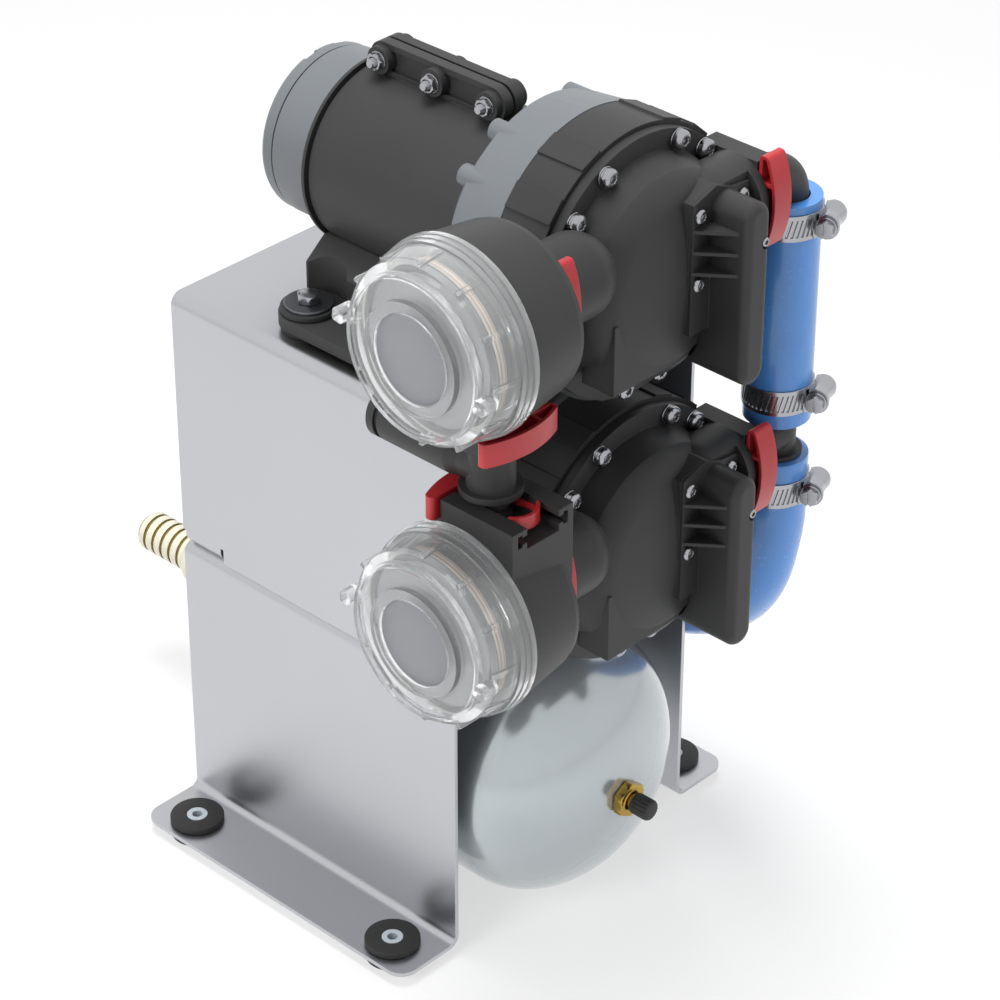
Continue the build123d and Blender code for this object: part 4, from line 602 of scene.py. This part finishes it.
def boltAndNut(bm, x, y, seatZ, underZ, turn):
    # Hexagon head above, nut and thread end below.
    up = placed((x, y, seatZ), (0, 0, 1)) @ Matrix.Rotation(turn, 4, "Z")
    hexBlock(bm, up, mountBolt["flats"], 0.0, mountBolt["head"], chamfer=0.7)
    down = placed((x, y, underZ), (0, 0, -1)) @ Matrix.Rotation(turn * 1.7, 4, "Z")
    hexBlock(bm, down, mountBolt["flats"], 0.0, mountBolt["nut"], bore=mountBolt["bore"])
    threadRod(bm, down, mountBolt["studR"], *mountBolt["stud"], pitch=1.0)


bm = bmesh.new()
for deck in mountBolt["decks"]:
    for i, (x, y) in enumerate(mountBolt["spots"]):
        boltAndNut(bm, x, y, deck + mountBolt["seat"], deck - mountBolt["sheet"], 0.35 * i)
addPiece("mountBolts", bm, brightSteel, replaces=["mount_bolts"])

bm = bmesh.new()
lowDeck = mountBolt["decks"][0]
underDeck = lowDeck - mountBolt["sheet"]
for i, (x, y) in enumerate(mountBolt["tabs"]):  # a second sheet lies on the deck
    boltAndNut(bm, x, y, lowDeck + mountBolt["sheet"], underDeck, 0.5 * i)
for i, (x, y) in enumerate(mountBolt["saddles"]):
    boltAndNut(bm, x, y, lowDeck, underDeck - mountBolt["saddle"], 0.8 * i)
addPiece("bracketBolts", bm, brightSteel, replaces=["bracket_fasteners"])
print("stage: fasteners built")


# Rubber feet, pump mounts and their washers

mountStack = {"footDiscR": 13.3, "footNeckR": 8.4, "footHoleR": 5.2, "footLift": 5.0, "footTop": 10.4,
              "sheet": 2.0, "feet": [(a * 100.0, b * 68.0) for a in (-1, 1) for b in (-1, 1)],
              "discR": 13.2, "neckR": 8.4, "lip": 3.0, "plate": 6.0, "boltR": 3.15,
              "washerR": 11.5, "washer": 1.5, "washerEdge": 0.3, "soft": 0.5, "topSoft": 0.6, "play": 0.05}


def rubberSpool(bm, x, y, base, lowTop, highBase, top, discR, neckR, holeR):
    # Two discs joined by a neck through the sheet, edges rounded.
    spot = placed((x, y, base), (0, 0, 1))
    soft = mountStack["soft"]
    topSoft = mountStack["topSoft"]
    lathe(bm, spot, [
        (0.0, holeR), (0.0, discR - soft), (soft * 0.3, discR - soft * 0.3), (soft, discR),
        (lowTop - soft, discR), (lowTop - soft * 0.2, discR - soft * 0.3), (lowTop, discR - soft),
        (lowTop, neckR), (highBase, neckR), (highBase, discR - soft), (highBase + soft, discR),
        (top - topSoft, discR), (top - topSoft * 0.3, discR - topSoft * 0.3), (top, discR - topSoft),
        (top, holeR + 0.4), (top - 0.3, holeR)], 64)


bm = bmesh.new()
play = mountStack["play"]
sheetTop = mountStack["footLift"] + mountStack["sheet"]
for x, y in mountStack["feet"]:
    rubberSpool(bm, x, y, 0.0, mountStack["footLift"] - play, sheetTop + play, mountStack["footTop"],
                mountStack["footDiscR"], mountStack["footNeckR"], mountStack["footHoleR"])
addPiece("footDiscs", bm, blackRubber, replaces=["foot_grommets"])

bm = bmesh.new()
washers = bmesh.new()
plateTop = mountStack["lip"] + mountStack["plate"]
for deck in mountBolt["decks"]:
    for x, y in mountBolt["spots"]:
        rubberSpool(bm, x, y, deck, mountStack["lip"] - play, plateTop + play, plateTop + mountStack["lip"],
                    mountStack["discR"], mountStack["neckR"], mountStack["boltR"])
        seat = placed((x, y, deck + plateTop + mountStack["lip"]), (0, 0, 1))
        washerRing(washers, seat, mountStack["washerR"], mountStack["boltR"], 0.0, mountStack["washer"],
                   edge=mountStack["washerEdge"])
addPiece("mountRubbers", bm, blackRubber, replaces=["mount_grommets"])
addPiece("mountDiscs", washers, washerSteel, replaces=["mount_washers"])


# Strainer lid windows

lidWindow = {"front": -153.0, "ports": {"upper": 376.0, "lower": 240.0}, "portY": -139.5,
             "radius": 19.7, "thick": 0.35, "gap": 0.03, "edgeIn": 0.15, "edgeDown": 0.1}
for side, portZ in lidWindow["ports"].items():
    bm = bmesh.new()
    spot = placed((lidWindow["front"] - lidWindow["gap"], lidWindow["portY"], portZ), (-1, 0, 0))
    skin(bm, spot, [ring(lidWindow["radius"], 0.0, 96),
                    ring(lidWindow["radius"], lidWindow["thick"] - lidWindow["edgeDown"], 96),
                    ring(lidWindow["radius"] - lidWindow["edgeIn"], lidWindow["thick"], 96)])
    addPiece(side + "LidWindow", bm, frostedPane, body=side + "_lid")


# Hoses and their clamps

hoseTube = {"outer": 15.6, "inner": 10.0, "lip": 0.5, "around": 56,
            "route": [(79.5, -139.5, 230.3), (79.5, -139.5, 205.0), (81.3, -138.3, 189.5),
                      (80.7, -131.1, 152.8), (95.9, -98.4, 117.6), (99.6, -64.2, 101.2),
                      (99.6, -16.0, 96.0), (99.5, 60.0, 80.0), (99.0, 110.0, 72.0), (99.0, 137.0, 71.0),
                      (90.0, 150.0, 71.0), (72.0, 150.0, 71.0), (61.0, 150.0, 71.0), (50.0, 150.0, 71.0)]}


def splinePoints(route):
    # Points read along a smooth spline through the route's space.
    curve = bpy.data.curves.new("hoseRoute", "CURVE")
    curve.dimensions = "3D"
    curve.resolution_u = 16
    spline = curve.splines.new("NURBS")
    spline.points.add(len(route) - 1)
    for point, place in zip(spline.points, route):
        point.co = (place[0] * mm, place[1] * mm, place[2] * mm, 1)
    spline.order_u = 3
    spline.use_endpoint_u = True
    holder = bpy.data.objects.new("hoseRoute", curve)
    mesh = bpy.data.meshes.new_from_object(holder)
    points = [v.co.copy() for v in mesh.vertices]
    bpy.data.objects.remove(holder)
    bpy.data.curves.remove(curve)
    bpy.data.meshes.remove(mesh)
    return points


def tubeAlong(bm, points, outer, inner, lip, around):
    # Hollow tube along the points, its frame carried without twist.
    side = Vector((1, 0, 0))
    rings = []
    for i, point in enumerate(points):
        tangent = (points[min(i + 1, len(points) - 1)] - points[max(i - 1, 0)]).normalized()
        side = (side - tangent * side.dot(tangent)).normalized()
        rings.append((point, side.copy(), tangent.cross(side), tangent))

    def loop(i, radius, shift=0.0):
        point, side, up, tangent = rings[i]
        angles = [2 * math.pi * k / around for k in range(around)]
        return [point + tangent * shift * mm + (side * math.cos(a) + up * math.sin(a)) * radius * mm
                for a in angles]

    last = len(points) - 1
    loops = [loop(0, outer - lip), loop(0, outer - lip * 0.3, lip * 0.3), loop(0, outer, lip)]
    loops += [loop(i, outer) for i in range(1, last)]
    loops += [loop(last, outer, -lip), loop(last, outer - lip)]
    loops += [loop(last, inner + lip), loop(last, inner, -lip)]
    loops += [loop(i, inner) for i in range(last - 1, 0, -1)]
    loops += [loop(0, inner, lip), loop(0, inner + lip)]
    skin(bm, Matrix.Identity(4), loops, joined=True)


bm = bmesh.new()
tubeAlong(bm, splinePoints(hoseTube["route"]), hoseTube["outer"], hoseTube["inner"], hoseTube["lip"],
          hoseTube["around"])
addPiece("curvedHoseTube", bm, blueHose, replaces=["curved_hose"])

wormTurn = math.radians(-65)
clampShape = {"inner": 15.65, "thick": 0.8, "width": 12.5, "slots": 43, "slotDepth": 0.74, "slotHalf": 4.0,
              "slant": 0.016, "bandEdge": 0.15, "slotEdge": 0.25,
              "tongue": (-4, -34), "tongueGap": 0.03, "tongueThick": 0.7,
              "rise": 3.3, "endR": 6.4, "waistR": 5.2, "half": 7.5, "sweep": 118,
              "footIn": 0.3, "footHalf": 0.85, "squash": 0.92, "endSoft": 0.35,
              "collar": ((0.0, 0.0), (0.0, 4.6), (0.25, 4.9), (0.9, 4.9), (1.15, 4.6), (1.15, 0.0)),
              "screwFlats": 7.4, "screwHex": (1.15, 3.2), "cheeks": (3.1, 4.6), "slotWide": 0.9,
              "places": [((79.5, -139.5, z), (0, 0, 1), (math.cos(wormTurn), math.sin(wormTurn), 0))
                         for z in (352.0, 263.5, 214.3)] + [((59.0, 150.0, 71.0), (1, 0, 0), (0, 1, 0))]}


def clampBand(bm, spot, shape):
    # Closed band with pressed slots, slanted as the worm cuts them.
    inner = shape["inner"]
    outer = inner + shape["thick"]
    wide = shape["width"] / 2
    slot = shape["slotHalf"]
    edge = shape["bandEdge"]
    fade = shape["slotEdge"]
    steps = shape["slots"] * 8

    def bandLoop(radius, height, slotted=False):
        points = []
        lean = max(-slot, min(slot, height)) * shape["slant"]
        for i in range(steps):
            r = radius - (shape["slotDepth"] if slotted and i % 8 in (2, 3, 4) else 0.0)
            a = 2 * math.pi * i / steps + lean
            points.append(Vector((r * math.cos(a), r * math.sin(a), height)) * mm)
        return points

    skin(bm, spot, [
        bandLoop(inner, -wide), bandLoop(outer - edge, -wide), bandLoop(outer, -wide + edge),
        bandLoop(outer, -slot - fade), bandLoop(outer, -slot, True), bandLoop(outer, slot, True),
        bandLoop(outer, slot + fade), bandLoop(outer, wide - edge), bandLoop(outer - edge, wide),
        bandLoop(inner, wide)], joined=True)


def clampTongue(bm, spot, shape):
    # Free end of the band, lying over it beside the housing, its tip rounded.
    start, end = shape["tongue"]
    low = shape["inner"] + shape["thick"] + shape["tongueGap"]
    high = low + shape["tongueThick"]
    loops = []
    for i in range(29):
        t = i / 28
        a = math.radians(start + (end - start) * t)
        wide = shape["width"] / 2 * math.sqrt(max(0.02, 1 - max(0.0, (t - 0.8) / 0.2) ** 2))
        loops.append([Vector((r * math.cos(a), r * math.sin(a), z)) * mm
                      for r, z in ((low, -wide), (high, -wide), (high, wide), (low, wide))])
    skin(bm, spot, loops)


def clampHousing(bm, spot, shape):
    # Saddle over the worm, wider at both ends than at its waist.
    middle = shape["inner"] + shape["thick"] + shape["rise"]
    foot = shape["inner"] + shape["thick"] - shape["footIn"]
    sweep = shape["sweep"]
    loops = []
    for i in range(-8, 9):
        t = i / 8
        r = shape["waistR"] + (shape["endR"] - shape["waistR"]) * abs(t) ** 1.5
        if abs(i) == 8:
            r -= shape["endSoft"]
        loop = [Vector((foot, -r * shape["footHalf"], 0))]
        for k in range(25):
            a = math.radians(-sweep + 2 * sweep * k / 24)
            loop.append(Vector((middle + r * math.cos(a) * shape["squash"], r * math.sin(a), 0)))
        loop.append(Vector((foot, r * shape["footHalf"], 0)))
        loops.append([Vector((q.x, t * shape["half"], q.y)) * mm for q in loop])
    skin(bm, spot, loops)


def wormScrew(bm, spot, shape):
    # Collar and slotted hexagon head on the worm's axis.
    middle = shape["inner"] + shape["thick"] + shape["rise"]
    outward = Matrix.Translation(Vector((middle, -shape["half"], 0)) * mm)
    axis = spot @ outward @ Matrix.Rotation(math.pi / 2, 4, "X")
    lathe(bm, axis, shape["collar"], 48)
    hexBlock(bm, axis, shape["screwFlats"], *shape["screwHex"], chamfer=0.2)
    outline = ring(shape["screwFlats"] / 2, 0.0, 72, hexFactor)
    half = [p for p in outline[54:] + outline[:54] if p.x >= shape["slotWide"] / 2 * mm]
    for way in (-1, 1):  # a cheek on each side of the slot
        skin(bm, axis, [[Vector((way * p.x, p.y, height * mm)) for p in half] for height in shape["cheeks"]])


bands = bmesh.new()
screws = bmesh.new()
for place, axis, side in clampShape["places"]:
    spot = placed(place, axis, side)
    clampBand(bands, spot, clampShape)
    clampTongue(bands, spot, clampShape)
    clampHousing(bands, spot, clampShape)
    wormScrew(screws, spot, clampShape)
addPiece("clampBands", bands, clampSteel, replaces=["clamp_bands"])
addPiece("clampScrews", screws, clampSteel, replaces=["clamp_screws"])
print("stage: mounts, windows, hose and clamps built")


# Air valve and its cap

valveShape = {"axis": (-4.0, 0.0, 71.0), "base": 127.0, "flats": 16.0, "face": 132.6, "collar": 0.6,
              "collarR": (6.6, 6.3), "stemR": 3.75, "stem": 142.4,
              "capR": 5.25, "capPlay": 0.12, "capBase": 134.1, "capEnd": 144.0, "capTop": 1.6,
              "ribs": 16, "ribDeep": 0.45}
spot = placed((valveShape["axis"][0], 0, valveShape["axis"][2]), (0, -1, 0))
bm = bmesh.new()
face = valveShape["face"]
stemR = valveShape["stemR"]
hexEnd = face - valveShape["collar"]
hexBlock(bm, spot, valveShape["flats"], valveShape["base"], hexEnd, chamfer=0.5)
lathe(bm, spot, [(hexEnd, 0.0), (hexEnd, valveShape["collarR"][0]), (face, valveShape["collarR"][1]),
                 (face, stemR), (valveShape["stem"], stemR), (valveShape["stem"], 0.0)], 48)
addPiece("airValveHex", bm, brassFinish, replaces=["air_valve"])
bm = bmesh.new()
ribSteps = valveShape["ribs"] * 6


def ribLoop(radius, height, deep):
    # Round outline with even grooves between its finger ribs.
    points = []
    for i in range(ribSteps):
        r = radius - (deep if i % 6 in (0, 1) else 0.0)
        a = 2 * math.pi * i / ribSteps
        points.append(Vector((r * math.cos(a), r * math.sin(a), height)) * mm)
    return points


capR = valveShape["capR"]
capBore = stemR + valveShape["capPlay"]
capBase = valveShape["capBase"]
capEnd = valveShape["capEnd"]
ribEnd = capEnd - valveShape["capTop"]
skin(bm, spot, [
    ribLoop(capBore, ribEnd, 0.0), ribLoop(capBore, capBase, 0.0),
    ribLoop(capR - 0.1, capBase, 0.0), ribLoop(capR - 0.1, capBase + 1.2, 0.0),
    ribLoop(capR, capBase + 1.4, valveShape["ribDeep"]), ribLoop(capR, ribEnd, valveShape["ribDeep"]),
    ribLoop(capR - 0.5, capEnd - 0.5, 0.2), ribLoop(capR - 1.5, capEnd, 0.0)])
addPiece("valveCapRibbed", bm, blackRubber, body="valve_cap", replaces=["valve_cap"])
print("stage: air valve built")


# Camera, lights and ground

view = {"place": (-0.997775, -0.987247, 1.075654), "turn": (57.389, -0.1189, -46.4822), "lens": 126.655,
        "sensor": 36.0}
cameraData = bpy.data.cameras.new("studioCamera")
cameraData.lens = view["lens"]
cameraData.sensor_width = view["sensor"]
camera = bpy.data.objects.new("studioCamera", cameraData)
camera.location = view["place"]
camera.rotation_euler = [math.radians(a) for a in view["turn"]]
bpy.context.scene.collection.objects.link(camera)
bpy.context.scene.camera = camera

lamps = [
    {"name": "keyPanel", "place": (-1.7, -0.1, 1.1), "aim": (0, 0, 0.2), "size": 0.8, "power": 20.0},
    {"name": "topPanel", "place": (0.05, 0.2, 2.0), "aim": (0, 0, 0.2), "size": 0.9, "power": 38.0},
    {"name": "sidePanel", "place": (1.0, -1.6, 0.7), "aim": (0, 0, 0.25), "size": 0.9, "power": 8.0},
]
for lamp in lamps:
    data = bpy.data.lights.new(lamp["name"], "AREA")
    data.size = lamp["size"]
    data.energy = lamp["power"]
    light = bpy.data.objects.new(lamp["name"], data)
    light.location = lamp["place"]
    aim = Vector(lamp["aim"]) - Vector(lamp["place"])
    light.rotation_euler = aim.to_track_quat("-Z", "Y").to_euler()
    light.visible_glossy = False  # paint and metal mirror the white room, not the panels
    bpy.context.scene.collection.objects.link(light)


def whiteWhereSeen(tree, plain, lit):
    # Camera, glossy and transmission rays meet plain white, other rays the lit shader.
    path = tree.nodes.new("ShaderNodeLightPath")
    seen = mathNode(tree, "MAXIMUM", path.outputs["Is Camera Ray"], path.outputs["Is Glossy Ray"])
    seen = mathNode(tree, "MAXIMUM", seen, path.outputs["Is Transmission Ray"])
    mix = tree.nodes.new("ShaderNodeMixShader")
    tree.links.new(seen, mix.inputs[0])
    tree.links.new(lit, mix.inputs[1])
    tree.links.new(plain, mix.inputs[2])
    return mix.outputs[0]


studio = {"roomLight": 0.32, "roomSeen": 1.0, "floorGrey": 0.86, "floorRough": 0.7, "floorGlow": 0.6,
          "floorSize": 6.0, "floorDrop": 0.0004}
world = bpy.data.worlds.new("studioWorld")
world.use_nodes = True
bpy.context.scene.world = world
tree = world.node_tree
tree.nodes.clear()
soft = tree.nodes.new("ShaderNodeBackground")
soft.inputs["Color"].default_value = (1, 1, 1, 1)
soft.inputs["Strength"].default_value = studio["roomLight"]
white = tree.nodes.new("ShaderNodeBackground")
white.inputs["Color"].default_value = (1, 1, 1, 1)
white.inputs["Strength"].default_value = studio["roomSeen"]
worldEnd = tree.nodes.new("ShaderNodeOutputWorld")
tree.links.new(whiteWhereSeen(tree, white.outputs[0], soft.outputs[0]), worldEnd.inputs[0])

floorMaterial, tree, bsdf = startMaterial("paleFloor")
grey = studio["floorGrey"]
bsdf.inputs["Base Color"].default_value = (grey, grey, grey, 1)
bsdf.inputs["Roughness"].default_value = studio["floorRough"]
glow = tree.nodes.new("ShaderNodeEmission")
glow.inputs["Color"].default_value = (1, 1, 1, 1)
pale = tree.nodes.new("ShaderNodeMixShader")
pale.inputs[0].default_value = studio["floorGlow"]
tree.links.new(bsdf.outputs[0], pale.inputs[1])
tree.links.new(glow.outputs[0], pale.inputs[2])
floorEnd = tree.nodes["Material Output"]
tree.links.new(whiteWhereSeen(tree, pale.outputs[0], bsdf.outputs[0]), floorEnd.inputs["Surface"])

bm = bmesh.new()
bmesh.ops.create_grid(bm, x_segments=4, y_segments=4, size=studio["floorSize"])
mesh = bpy.data.meshes.new("floor")
bm.to_mesh(mesh)
bm.free()
floor = bpy.data.objects.new("floor", mesh)
floor.location.z = -studio["floorDrop"]
mesh.materials.append(floorMaterial)
bpy.context.scene.collection.objects.link(floor)
bpy.context.scene.view_settings.view_transform = "Standard"
print("stage: camera, lamps and floor ready")
